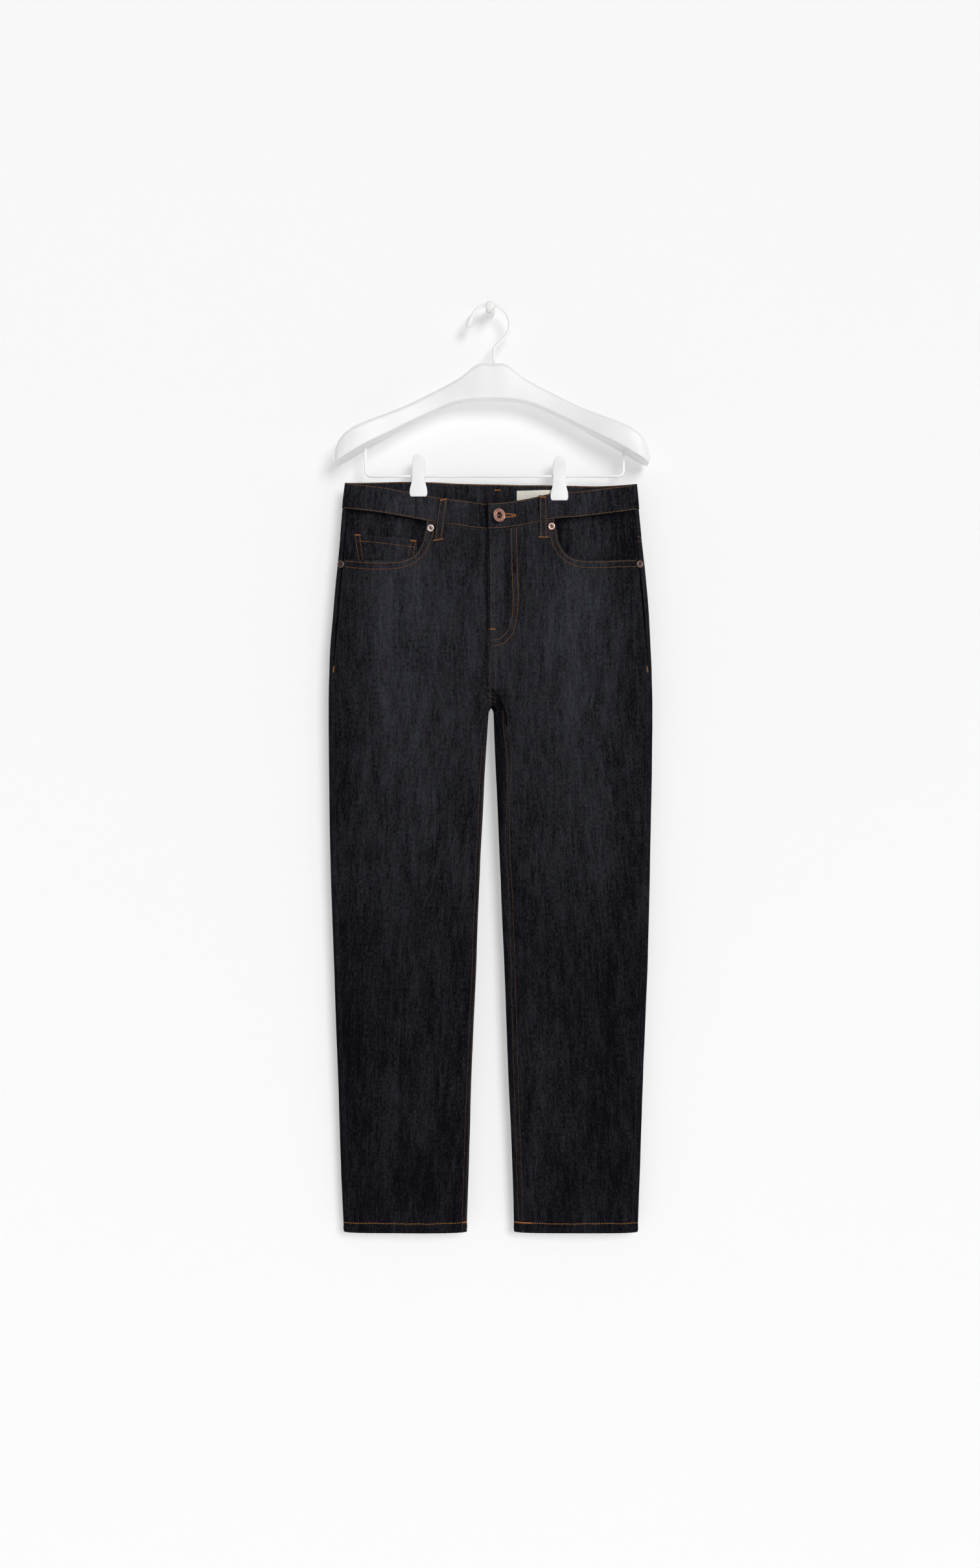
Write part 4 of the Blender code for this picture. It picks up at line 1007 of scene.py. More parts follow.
class Effects:
    """The node groups that the finishes share."""

    def __init__(self) -> None:
        """Builds each group once."""
        self.twill = self.twill_weave()
        self.slubs = self.slub_streaks()
        self.wear_and_highlight = self.seam_wear_and_highlight()
        self.grain = self.fine_grain()

    @staticmethod
    def twill_weave() -> Group:
        """Diagonal wales of a twill with yarns across them: a height and a mask of pale flecks."""
        w, given, made = new_group("Twill Weave", {"Weave": None, "Wales": 950}, ("Height", "Flecks"))
        weave = given.outputs["Weave"]
        parts = w.feed(w.add("SeparateXYZ"), Vector=weave)
        wobble = w.math("MULTIPLY", w.noise(weave, 260), 0.9)
        diagonal = w.math("ADD", parts.outputs[0], w.math("MULTIPLY", parts.outputs[1], 0.72))
        turns = w.math("MULTIPLY", diagonal, given.outputs["Wales"])
        wale = w.math("SINE", w.math("MULTIPLY_ADD", turns, 2 * math.pi, w.math("MULTIPLY", wobble, 9)))
        picks = w.math("SINE", w.math("MULTIPLY", parts.outputs[1], 2 * math.pi * 1500))
        height = w.math("MULTIPLY_ADD", wale, 0.36, w.math("MULTIPLY_ADD", picks, 0.10, 0.5))
        fuzz = w.noise(w.scaled(weave, 1, 0.55), 1500, 1)
        flecks = w.math("MULTIPLY", w.ramp(height, 0.62, 0.12), w.ramp(fuzz, 0.42, 0.66))
        w.feed(made, Height=height, Flecks=flecks)
        return w.tree

    @staticmethod
    def slub_streaks() -> Group:
        """Uneven yarns: long streaks down the warp, short ones across, and a speckle."""
        w, given, made = new_group(
            "Slub Streaks", {"Weave": None, "Seed": 0}, ("Streaks", "Blotches", "Speckle")
        )
        shift = w.feed(w.add("CombineXYZ"), X=given.outputs["Seed"], Z=given.outputs["Seed"])
        weave = w.vector("ADD", given.outputs["Weave"], shift.outputs[0])
        narrow = w.noise(w.scaled(weave, 300, 36), 1, 2, 0.6)
        middling = w.noise(w.scaled(weave, 110, 13), 1, 3, 0.65)
        across = w.noise(w.scaled(weave, 26, 520), 1, 1)
        streaks = w.math("MULTIPLY_ADD", narrow, 0.50, w.math("MULTIPLY", middling, 0.38))
        streaks = w.math("MULTIPLY_ADD", across, 0.12, streaks)
        blotches = w.noise(w.scaled(weave, 36, 9), 1, 3, 0.62)
        speckle = w.noise(w.scaled(weave, 420, 210), 1, 3, 0.75)
        w.feed(made, Streaks=w.ramp(streaks, 0.36, 0.64))
        w.feed(made, Blotches=w.ramp(blotches, 0.30, 0.70), Speckle=w.ramp(speckle, 0.30, 0.70))
        return w.tree

    @staticmethod
    def seam_wear_and_highlight() -> Group:
        """Broken abrasion along seams and folded edges, partly a painted highlight along the folds, and the
        height of their puckers.
        """
        w, given, made = new_group("Seam Wear And Highlight", {"Weave": None, "Seam": 0}, ("Worn", "Pucker"))
        weave, seam = given.outputs["Weave"], given.outputs["Seam"]
        breaks = w.ramp(w.noise(weave, 190, 3, 0.65), 0.38, 0.66)
        worn = w.math("MULTIPLY", w.math("POWER", seam, 1.8), breaks)
        pucker = w.math("MULTIPLY", w.noise(weave, 120, 1), seam)
        w.feed(made, Worn=worn, Pucker=pucker)
        return w.tree

    @staticmethod
    def fine_grain() -> Group:
        """Slight unevenness of a moulded, plated or painted surface."""
        w, given, made = new_group("Fine Grain", {"Place": None, "Scale": 400}, ("Grain", "Clouds"))
        place, scale = given.outputs["Place"], given.outputs["Scale"]
        w.feed(made, Grain=w.noise(place, scale, 3), Clouds=w.noise(place, 28, 3))
        return w.tree


def rgba(colour: Colour) -> tuple[float, float, float, float]:
    """A colour with full alpha."""
    return (*colour, 1)


def new_material(name: str, **constants: float) -> tuple[Wiring, Node]:
    """A material with one Principled shader.

    Args:
        name: The finish's name.
        constants: Values set on the shader's own sockets, with spaces written as low lines.

    Returns:
        Its wiring and its shader.
    """
    material = bpy.data.materials.new(name)
    material.use_nodes = True
    w = Wiring(material.node_tree)
    shader = material.node_tree.nodes["Principled BSDF"]
    return w, w.feed(shader, **constants)


def finished(w: Wiring, shader: Node, height: Output, strength: float, depth: float) -> Material:
    """Gives a shader its bump from a height, and returns the material it belongs to."""
    bump = w.feed(w.add("Bump"), Strength=strength, Distance=depth, Height=height)
    w.feed(shader, Normal=bump.outputs[0])
    return next(m for m in bpy.data.materials if m.node_tree == w.tree)


@dataclass(frozen=True)
class DenimFinish:
    """Washed black twill."""

    name: str
    deep: Colour = (0.0026, 0.0023, 0.0038)
    pale: Colour = (0.0435, 0.0405, 0.0510)
    cooler: Colour = (0.0385, 0.0430, 0.0495)
    worn: Colour = (0.062, 0.070, 0.084)
    seed: float = 0
    wash_gain: float = 0.43
    wash_base: float = 0.055
    roughness: float = 0.9
    bump: float = 0.55

    def make(self, effects: Effects) -> Material:
        """Builds the material."""
        w, shader = new_material(self.name, Specular_IOR_Level=0.03)
        weave = w.read("weave", vector=True)
        slubs = w.place(effects.slubs, Weave=weave, Seed=self.seed).outputs
        twill = w.place(effects.twill, Weave=weave).outputs
        wear_and_highlight = w.place(effects.wear_and_highlight, Weave=weave, Seam=w.read("seam")).outputs
        # The pale attribute mixes the denim's fading with painted shade and painted highlight.
        pale_level = w.math("MULTIPLY_ADD", w.read("pale"), self.wash_gain, self.wash_base)
        swing = w.math("MULTIPLY_ADD", pale_level, 0.42, 0.23)
        uneven = w.math("ADD", w.math("MULTIPLY_ADD", slubs["Streaks"], 1.15, -0.575),
                        w.math("MULTIPLY_ADD", slubs["Blotches"], 0.70, -0.35))
        uneven = w.math("ADD", uneven, w.math("MULTIPLY_ADD", slubs["Speckle"], 1.6, -0.8))
        tone = w.math("MULTIPLY_ADD", uneven, swing, pale_level)
        tone = w.math("MULTIPLY_ADD", twill["Flecks"], w.math("MULTIPLY_ADD", swing, 0.5, 0.02), tone)
        cast = w.ramp(w.noise(w.scaled(weave, 75, 38), 1, 2), 0.40, 0.60)
        pale = w.mix(cast, rgba(self.pale), rgba(self.cooler))
        colour = w.mix(w.math("MAXIMUM", tone, 0, clamp=True), rgba(self.deep), pale)
        # Lighter towards seams and edges: partly seam abrasion, partly a painted highlight along folded
        # edges.
        colour = w.mix(w.math("MULTIPLY", wear_and_highlight["Worn"], 0.16), colour, rgba(self.worn))
        rough = w.math("MULTIPLY_ADD", slubs["Speckle"], 0.08, self.roughness - 0.05)
        w.feed(shader, Base_Color=colour, Roughness=rough)
        height = w.math("MULTIPLY_ADD", slubs["Streaks"], 0.35, twill["Height"])
        height = w.math("MULTIPLY_ADD", wear_and_highlight["Pucker"], 4, height)
        return finished(w, shader, height, self.bump, 0.00022)


@dataclass(frozen=True)
class ThreadFinish:
    """Twisted sewing thread."""

    name: str
    colour: Colour
    shade: Colour
    roughness: float = 0.62

    def make(self, effects: Effects) -> Material:
        """Builds the material."""
        w, shader = new_material(self.name, Specular_IOR_Level=0.15)
        place = w.add("TexCoord").outputs["Object"]
        grain = w.place(effects.grain, Place=place, Scale=2200).outputs
        colour = w.mix(w.ramp(grain["Grain"], 0.34, 0.62), rgba(self.shade), rgba(self.colour))
        w.feed(shader, Base_Color=colour, Roughness=self.roughness)
        return finished(w, shader, grain["Grain"], 0.35, 0.0001)


@dataclass(frozen=True)
class MetalFinish:
    """Plated metal, with painted shade in its hollows and under its heads, and random darker patches."""

    name: str
    bright: Colour
    aged: Colour
    roughness: float = 0.34

    def make(self, effects: Effects) -> Material:
        """Builds the material."""
        w, shader = new_material(self.name, Metallic=1)
        place = w.add("TexCoord").outputs["Object"]
        grain = w.place(effects.grain, Place=place, Scale=900).outputs
        clouds = w.noise(place, 420, 3)
        aged = w.ramp(clouds, 0.42, 0.68)
        # Painted shade: the hollow attribute darkens recesses and undersides, and random darker patches add
        # to it.
        hollow = w.math("MULTIPLY_ADD", w.read("hollow"), 0.92, w.math("MULTIPLY", aged, 0.30), clamp=True)
        colour = w.mix(hollow, rgba(self.bright), rgba(self.aged))
        rough = w.math("MULTIPLY_ADD", aged, 0.2, self.roughness)
        w.feed(shader, Base_Color=colour, Roughness=rough)
        return finished(w, shader, grain["Grain"], 0.25, 0.00008)


@dataclass(frozen=True)
class WhiteFinish:
    """White moulded plastic, coated wire or paint."""

    name: str
    colour: Colour
    roughness: float
    grain_scale: float
    bump: float
    depth: float

    def make(self, effects: Effects) -> Material:
        """Builds the material."""
        w, shader = new_material(self.name, Specular_IOR_Level=0.45)
        place = w.add("TexCoord").outputs["Object"]
        grain = w.place(effects.grain, Place=place, Scale=self.grain_scale).outputs
        dim = tuple(0.95 * c for c in self.colour)
        colour = w.mix(w.ramp(grain["Clouds"], 0.35, 0.70), rgba(self.colour), rgba(dim))
        rough = w.math("MULTIPLY_ADD", grain["Clouds"], 0.12, self.roughness - 0.06)
        w.feed(shader, Base_Color=colour, Roughness=rough)
        return finished(w, shader, grain["Grain"], self.bump, self.depth)


@dataclass(frozen=True)
class LabelFinish:
    """Cream woven tape, left blank."""

    name: str = "cream_label"
    light: Colour = (0.78, 0.75, 0.66)
    dark: Colour = (0.62, 0.59, 0.50)

    def make(self, effects: Effects) -> Material:
        """Builds the material."""
        w, shader = new_material(self.name, Specular_IOR_Level=0.3)
        weave = w.read("weave", vector=True)
        twill = w.place(effects.twill, Weave=weave, Wales=1800).outputs
        slow = w.noise(weave, 90, 3)
        tone = w.math("MULTIPLY_ADD", twill["Height"], 0.4, w.math("MULTIPLY", slow, 0.4))
        colour = w.mix(w.ramp(tone, 0.15, 0.60), rgba(self.dark), rgba(self.light))
        w.feed(shader, Base_Color=colour, Roughness=0.75)
        return finished(w, shader, twill["Height"], 0.4, 0.0001)


class Finishes:
    """Every finish, made once."""

    def __init__(self) -> None:
        """Builds the materials."""
        e = Effects()
        kinds = ("panel", "band", "loop", "pocket")
        self.denim = {k: DenimFinish(f"denim_{k}", seed=3.7 * n).make(e) for n, k in enumerate(kinds)}
        self.facing = DenimFinish("denim_facing", seed=21.3, wash_base=0.025).make(e)
        self.thread = ThreadFinish("tan_topstitch", (0.27, 0.118, 0.034), (0.070, 0.032, 0.012)).make(e)
        self.tack = ThreadFinish("tan_bar_tack", (0.33, 0.130, 0.038), (0.12, 0.048, 0.017)).make(e)
        self.faded = ThreadFinish("faded_topstitch", (0.125, 0.062, 0.026), (0.038, 0.020, 0.010)).make(e)
        self.tonal = ThreadFinish("tonal_thread", (0.024, 0.024, 0.028), (0.008, 0.008, 0.010)).make(e)
        self.copper = MetalFinish("copper_plate", (0.70, 0.39, 0.30), (0.028, 0.018, 0.015)).make(e)
        self.rose = MetalFinish("rose_plate", (0.60, 0.41, 0.36), (0.06, 0.030, 0.024)).make(e)
        self.silver = MetalFinish("worn_plate", (0.66, 0.56, 0.52), (0.10, 0.055, 0.045)).make(e)
        self.aged = MetalFinish("aged_plate", (0.17, 0.115, 0.105), (0.04, 0.026, 0.022)).make(e)
        self.label = LabelFinish().make(e)
        white = (0.80, 0.80, 0.796)
        self.plastic = WhiteFinish("white_plastic", white, 0.42, 500, 0.05, 0.00005).make(e)
        self.wire = WhiteFinish("white_wire", (0.86, 0.86, 0.855), 0.36, 400, 0.05, 0.00005).make(e)
        self.peg = WhiteFinish("white_paint", (0.79, 0.79, 0.78), 0.5, 300, 0.10, 0.0001).make(e)


# Cloth pieces


class MouthPoint(NamedTuple):
    """A point of the front pocket mouths' edges."""

    right_x: float
    left_x: float
    z: float


MOUTH_EDGE = table_of(
    MouthPoint,
    (-91.4, 93.4, -302), (-92.6, 94.8, -313.4), (-94.9, 97.4, -325.5), (-97.6, 100.2, -338.6),
    (-102.8, 105.4, -350.7), (-110.8, 112.8, -359.8), (-119, 121, -363.9), (-132, 133, -366),
    (-165, 165, -366.6), (-190, 190, -365.6), (-211.4, 213.3, -364.4),
)
YOKE_SIDE_Z, YOKE_MIDDLE_Z = -333, -356
HEM_DEPTH = 12.6
HEM_ROPE_PITCH, HEM_ROPE_HEIGHT = 8.5, 0.28
ROW_STEP, COLUMN_STEP = 5, 3.8
BAND_COLUMNS = 26
WEAVE_SHIFT = 700

# The fold along which the left front turns back over the inner thigh
FOLD_TOP_Z, FOLD_BOTTOM_Z = -552, -604
FOLD_POINTS = table_of(
    EdgePoint,
    (2, -548), (7.5, -554.5), (13, -563), (19, -575), (22.6, -584), (24.6, -596), (25.4, -604),
)
FOLD_EDGE = column(FOLD_POINTS, "z", "x")


def travelled(line: Array) -> Array:
    """Length along a line of points, from 0 at its first."""
    return np.concatenate([[0], np.cumsum(np.linalg.norm(np.diff(line, axis=0), axis=1))])


def even_steps(line: Array, step: float, *tracks: Array) -> list[Array]:
    """Values of tracks that run beside a line, at even steps of its length."""
    length = travelled(line)
    at = np.linspace(0, length[-1], max(1, round(length[-1] / step)) + 1)
    return [np.stack([np.interp(at, length, part) for part in t.T], -1) for t in tracks]


def smooth_path(points: Sequence[Point], step: float) -> Array:
    """Places at even steps along a smooth curve through points."""
    p = np.array(points, float)
    chord = travelled(p)
    fine = np.linspace(0, chord[-1], max(2, int(chord[-1] / 0.5)))
    parts = [curve_through(chord, v)(fine) if len(p) > 2 else np.interp(fine, chord, v) for v in p.T]
    line = np.stack(parts, -1)
    return even_steps(line, step, line)[0]


def leg_heights() -> Array:
    """Row heights of a leg below the crotch, closer together at its start and at the hem."""
    near = CROTCH_Z - np.array([1, 2.6, 5, 8.5, 12.5, 17])
    hem = HEM_Z + np.array([HEM_DEPTH + 2.5, HEM_DEPTH, 9.6, 6.6, 3.6, 1.4, 0])
    count = int((near[-1] - hem[0]) / ROW_STEP)
    return np.concatenate([near, np.linspace(near[-1], hem[0], count + 1)[1:-1], hem])


def hem_rope(z: Array, along: Array) -> Array:
    """The slanting twists that washing leaves in a turned-up hem, and its second layer."""
    inside = ease((HEM_Z + HEM_DEPTH - z) / 2.5)
    twist = np.sin(2 * math.pi * (along + 0.8 * (z - HEM_Z)) / HEM_ROPE_PITCH + 0.9 * np.sin(along / 31))
    return inside * (0.35 + HEM_ROPE_HEIGHT * twist)


def patch_on(
    form: JeansForm, side: Side, z: Array, along: Array, level: Array | float, wall: Array | float,
    edges: str, extra: Array | float = 0,
) -> Patch:
    """A patch of one side's cloth.

    Args:
        form: The garment's form.
        side: Which half.
        z: Heights of the grid.
        along: Lengths round the half ring.
        level: How far the outer skin stands off the panels' outer face.
        wall: Thickness.
        edges: Edges that are seams or folds, as for edge_nearness.
        extra: More height for the outer skin alone.

    Returns:
        The patch.
    """
    points, normals = form.cloth(side, z, along)
    level, wall, extra = (np.broadcast_to(np.asarray(v, float), z.shape) for v in (level, wall, extra))
    outer = points + normals * (level + extra)[..., None]
    inner = points + normals * (level - wall)[..., None]
    over = along + WEAVE_SHIFT * (side is Side.LEFT)
    weave = np.stack([over, z], -1)
    return Patch(outer, inner, weave, wash(points[..., 0], z), edge_nearness(outer, edges))


@dataclass
class FrontPanel:
    """A front leg panel, its upper outer corner curved away for the pocket mouth."""

    side: Side
    form: JeansForm
    finishes: Finishes
    cut: Cut = (240, 1052, 0.80)
    edge_roll: float = 0.35

    def top_edge(self) -> Array:
        """The panel's upper edge, from the fly along the waistband and round the pocket mouth."""
        sign = self.side.value
        mouth = [(p.left_x if sign > 0 else p.right_x, p.z) for p in MOUTH_EDGE]
        corner = mouth[0][0]
        x = np.linspace(WAIST_MIDDLE_X + sign * SEAM_GAP / 2, corner, BAND_COLUMNS)
        band = np.stack([x, band_low(x) - BAND_SEAM_GAP], -1)
        mouth[0] = (corner, float(band[-1, 1]))
        return np.concatenate([band[:-1], smooth_path(mouth, COLUMN_STEP)])

    def build(self) -> Piece:
        """Makes the panel."""
        half = self.form.halves[self.side]
        edge = self.top_edge()
        share = np.linspace(0, 1, len(edge))
        lip = 0.005
        share = np.concatenate([[0, lip], share[1:-1], [1 - lip, 1]])
        edge = np.stack([np.interp(share, np.linspace(0, 1, len(edge)), edge[:, n]) for n in (0, 1)], -1)
        table = half.columns(half.front_span, share)
        top_along = half.along(edge[:, 0], edge[:, 1], Face.FRONT)
        crotch = np.full(len(share), CROTCH_Z)
        low_along = half.read(table, crotch)
        down = shares(52, 0.004)[:, None]
        upper_z = edge[:, 1] * (1 - down) + crotch * down
        upper_along = top_along * (1 - down) + low_along * down
        lower_z = np.repeat(leg_heights()[:, None], len(share), 1)
        z = np.concatenate([upper_z, lower_z])
        along = np.concatenate([upper_along, half.read(table, lower_z)])
        if self.side is Side.LEFT:
            along = self.rolled_edge(half, z, along, share)
        wall = np.where(z < HEM_Z + HEM_DEPTH, HEM_WALL, PANEL_WALL)
        spots = half.at(z, along)[0]
        lift = self.edge_roll * ease((edge_nearness(spots, "t", 12) - 0.3) / 0.7)
        lift = lift * (np.abs(spots[..., 0]) > abs(edge[BAND_COLUMNS, 0]) - 1)
        extra = hem_rope(z, along) + lift
        patch = patch_on(self.form, self.side, z, along, 0, wall, "lrtb", extra)
        name = f"front_{self.side.word}"
        return cloth_piece(name, patch, self.finishes.denim["panel"], 0.45)

    @staticmethod
    def rolled_edge(half: HalfForm, z: Array, along: Array, share: Array) -> Array:
        """Lets the left panel's edge fold back to the inner thigh just above the crotch."""
        x = FOLD_EDGE(z[:, 0])
        start = half.along(x, z[:, 0], Face.FRONT)
        within = (z[:, 0] < FOLD_TOP_Z) & (z[:, 0] > FOLD_BOTTOM_Z)
        shift = np.where(within, start - along[:, 0], 0)
        return along + shift[:, None] * (1 - share) ** 3


@dataclass
class CrotchTongue:
    """The inner thigh's cloth that shows behind the fold of the left front, above the crotch."""

    form: JeansForm
    finishes: Finishes
    level: float = -2.3
    top_z: float = -549
    low_z: float = -616
    under: float = 5

    def build(self) -> Piece:
        """Makes the piece."""
        down = shares(18)[:, None]
        over = shares(8)
        z = self.top_z * (1 - down) + self.low_z * down + 0 * over
        near = middle_x(z) + 0.6 + 2.6 * ease((CROTCH_Z + 2 - z) / 7)
        near = np.maximum(near, INNER_X[Side.LEFT](z) + 2.6 * (z < CROTCH_Z))
        x = near * (1 - over) + (FOLD_EDGE(z) + self.under) * over
        half = self.form.halves[Side.LEFT]
        along = half.along(x, z, Face.FRONT)
        patch = patch_on(self.form, Side.LEFT, z, along, self.level, PANEL_WALL, "l")
        # Painted shade: the inner thigh behind the fold is darkened to near its least paleness.
        patch.pale = patch.pale * 0.3 + WASH_AND_SHADE_LEAST
        return settle(shell("inner_thigh_left", patch, self.finishes.denim["panel"], 0.3))


@dataclass
class SeamAllowance:
    """A strip inside the centre front or the seat seam, across both halves."""

    face: Face
    form: JeansForm
    finishes: Finishes
    half_width: float = 6
    top_z: float = -330
    low_z: float = -577.5
    level: float = -1.5
    wall: float = 0.9

    def build(self) -> Piece:
        """Makes the strip."""
        down = shares(60, 0.003)[:, None]
        over = np.linspace(-1, 1, 11)
        z = self.top_z * (1 - down) + self.low_z * down + 0 * over
        x = middle_x(z) + self.half_width * over
        points, normals = self.form.grid(x, z, self.face)
        outer, inner = points + normals * self.level, points + normals * (self.level - self.wall)
        # Painted shade: the strip inside the seam is darkened to 0.4 of the cloth's paleness.
        patch = Patch(outer, inner, np.stack([x, z], -1), wash(x, z) * 0.4, np.zeros(x.shape))
        name = f"seam_allowance_{self.face.value}"
        return settle(shell(name, patch, self.finishes.denim["panel"], 0.3))


@dataclass
class BackPanels:
    """A back leg panel and the yoke above it, both wrapped round the side to the outseam."""

    side: Side
    form: JeansForm
    finishes: Finishes
    columns: int = 104
    panel_cut: Cut = (290, 1010, 0.82)
    yoke_cut: Cut = (235, 64, 0.84)
    reference_z: float = -320
    allowance_z: Point = (-286, -356)

    def top_edges(self, half: HalfForm, table: Array) -> tuple[Array, Array]:
        """Heights of the waistband seam and of the yoke seam at each column."""
        level = np.full(table.shape[1], self.reference_z)
        points, normals = half.at(level, half.read(table, level))
        x, front = points[:, 0], normals[:, 1] < 0
        band = np.where(front, band_low(x, Face.FRONT), band_low(x, Face.BACK)) - BAND_SEAM_GAP
        outer = abs(float(OUTER_X[self.side](self.reference_z)) - middle_x(self.reference_z))
        reach = np.minimum(1, np.abs(x - middle_x(self.reference_z)) / outer)
        return band, YOKE_MIDDLE_Z + (YOKE_SIDE_Z - YOKE_MIDDLE_Z) * reach

    def build(self) -> list[Piece]:
        """Makes the leg panel and the yoke."""
        half = self.form.halves[self.side]
        share = shares(self.columns, 0.003)
        table = half.columns(half.back_span, share)
        band, yoke = self.top_edges(half, table)
        down = shares(46, 0.004)[:, None]
        upper = (yoke - SEAM_GAP) * (1 - down) + CROTCH_Z * down
        z = np.concatenate([upper, np.repeat(leg_heights()[:, None], len(share), 1)])
        along = half.read(table, z)
        wall = np.where(z < HEM_Z + HEM_DEPTH, HEM_WALL, PANEL_WALL)
        patch = patch_on(self.form, self.side, z, along, 0, wall, "lrtb", hem_rope(z, along))
        word = self.side.word
        cloth = self.finishes.denim
        leg = cloth_piece(f"back_{word}", patch, cloth["panel"], 0.45)
        down = shares(9, 0.02)[:, None]
        z = band * (1 - down) + yoke * down
        patch = patch_on(self.form, self.side, z, half.read(table, z), 0.25, PANEL_WALL, "lrtb")
        top = cloth_piece(f"yoke_{word}", patch, cloth["pocket"], 0.45)
        return [leg, top, self.allowance(half)]

    def allowance(self, half: HalfForm) -> Piece:
        """The turned-in edges behind the top of the outseam."""
        table = half.columns(lambda k: (half.outseam(k) - 4, half.outseam(k) + 4), np.linspace(0, 1, 9))
        down = shares(24, 0.01)[:, None]
        z = self.allowance_z[0] * (1 - down) + self.allowance_z[1] * down + np.zeros(9)
        level = PocketFacing(self.side, self.form, self.finishes).level() - 1.4
        patch = patch_on(self.form, self.side, z, half.read(table, z), level, 0.8, "t")
        # Painted shade: the turned-in edges behind the outseam are darkened to 0.3 of the cloth's paleness.
        patch.pale = patch.pale * 0.3
        name = f"seam_allowance_{self.side.word}"
        return settle(shell(name, patch, self.finishes.denim["panel"], 0.3))


@dataclass
class Waistband:
    """One strip round the waist, whose buttonhole end lies over its button end."""

    form: JeansForm
    finishes: Finishes
    columns: int = 150
    rows: int = 11
    puff: float = 0.35
    cut: Cut = (895, 39, 1)

    @staticmethod
    def levels(x: Array, front: Array, under: Array) -> tuple[Array, Array]:
        """Outer and inner level of the strip.

        Args:
            x: Places across.
            front: True on the front wall.
            under: True on the stretch that lies under the overlap.

        Returns:
            The two levels at each place.
        """
        near = ease(1 - np.abs(x - OVERLAP_END_X) / BAND_RISE_WIDTH)
        low = np.where(under, 1, np.where(front & (x < OVERLAP_END_X), near, 0))
        high = ease((UNDERLAP_END_X + BAND_RISE_WIDTH - x) / BAND_RISE_WIDTH)
        high = np.where(front & ~under & (x >= OVERLAP_END_X - 0.01), high, 0)
        outer = BAND_OUTER + (UNDERLAP_OUTER - BAND_OUTER) * low + (OVERLAP_OUTER - BAND_OUTER) * high
        inner = BAND_INNER + (UNDERLAP_INNER - BAND_INNER) * low + (OVERLAP_INNER - BAND_INNER) * high
        return outer, inner

    def stations(self) -> list[tuple[Side, float, bool]]:
        """Where the columns stand, from the button end round the back to the buttonhole end.

        Returns:
            For each column its half, the length round it and whether it lies under the overlap.
        """
        halves = self.form.halves
        level = BAND_REFERENCE_Z
        stations = []
        for x in np.linspace(UNDERLAP_END_X, UNDERLAP_START_X, 9):
            stations.append((Side.LEFT, float(halves[Side.LEFT].along(x, level, Face.FRONT)), True))
        for side in Side:
            half = halves[side]
            total = float(half.total(np.array(level)))
            table = half.columns(lambda k, h=half: (0, h.totals[k]), np.linspace(0, 1, self.columns))
            lengths = half.read(table, np.full(self.columns, level))
            if side is Side.RIGHT:
                near_end = OVERLAP_END_X - np.array([0.5, 1.3, 2.4])
                lengths = np.append(half.along(near_end, level, Face.FRONT), lengths[1:])
                lengths = np.unique(lengths)
            else:
                lengths = lengths[-2:0:-1]
            stations += [(side, min(float(a), total), False) for a in lengths]
        for x in (-0.4, OVERLAP_END_X + 1.4, OVERLAP_END_X):
            side = Side.LEFT if x > WAIST_MIDDLE_X else Side.RIGHT
            stations.append((side, float(halves[side].along(x, level, Face.FRONT)), False))
        return stations

    def build(self) -> Piece:
        """Makes the strip."""
        level = BAND_REFERENCE_Z
        stations = self.stations()
        down = shares(self.rows, 0.03)
        shape = (len(down), len(stations))
        outer, inner = np.zeros((*shape, 3)), np.zeros((*shape, 3))
        pale = np.zeros(shape)
        run = 0
        weave = np.zeros((*shape, 2))
        for c, (side, along, under) in enumerate(stations):
            half = self.form.halves[side]
            point, normal = half.at(np.array(level), np.array(along))
            front = bool(normal[1] < 0)
            over_end = c >= len(stations) - 3
            top = float(BAND_TOP[Face.FRONT if front else Face.BACK](point[0]))
            z = top - BAND_HEIGHT * down
            share = along / float(half.total(np.array(level)))
            places, normals = self.form.cloth(side, z, share * half.total(z))
            x = float(max(point[0], OVERLAP_END_X) if over_end else point[0])
            high, low = self.levels(np.array(x), np.array(front), np.array(under))
            puffed = self.puff * np.sin(math.pi * down) ** 0.5
            outer[:, c] = places + normals * (high + puffed)[:, None]
            inner[:, c] = places + normals * (low - 0.3 * puffed)[:, None]
            # Painted shadow: darker just left of the overlap's end, where the step of the band casts it.
            shaded = front and x < OVERLAP_END_X - 0.2
            shade = 1.3 * math.exp(-(((x - OVERLAP_END_X + 1) / 1.5) ** 2))
            pale[:, c] = wash(places[:, 0], z) - shade * shaded
            run += float(np.linalg.norm(outer[0, c] - outer[0, c - 1])) if c else 0
            weave[:, c] = np.stack([np.full(len(z), run), z], -1)
        patch = Patch(outer, inner, weave, pale, edge_nearness(outer, "tblr", 2.6))
        return cloth_piece("waistband", patch, self.finishes.denim["band"], 0.9)


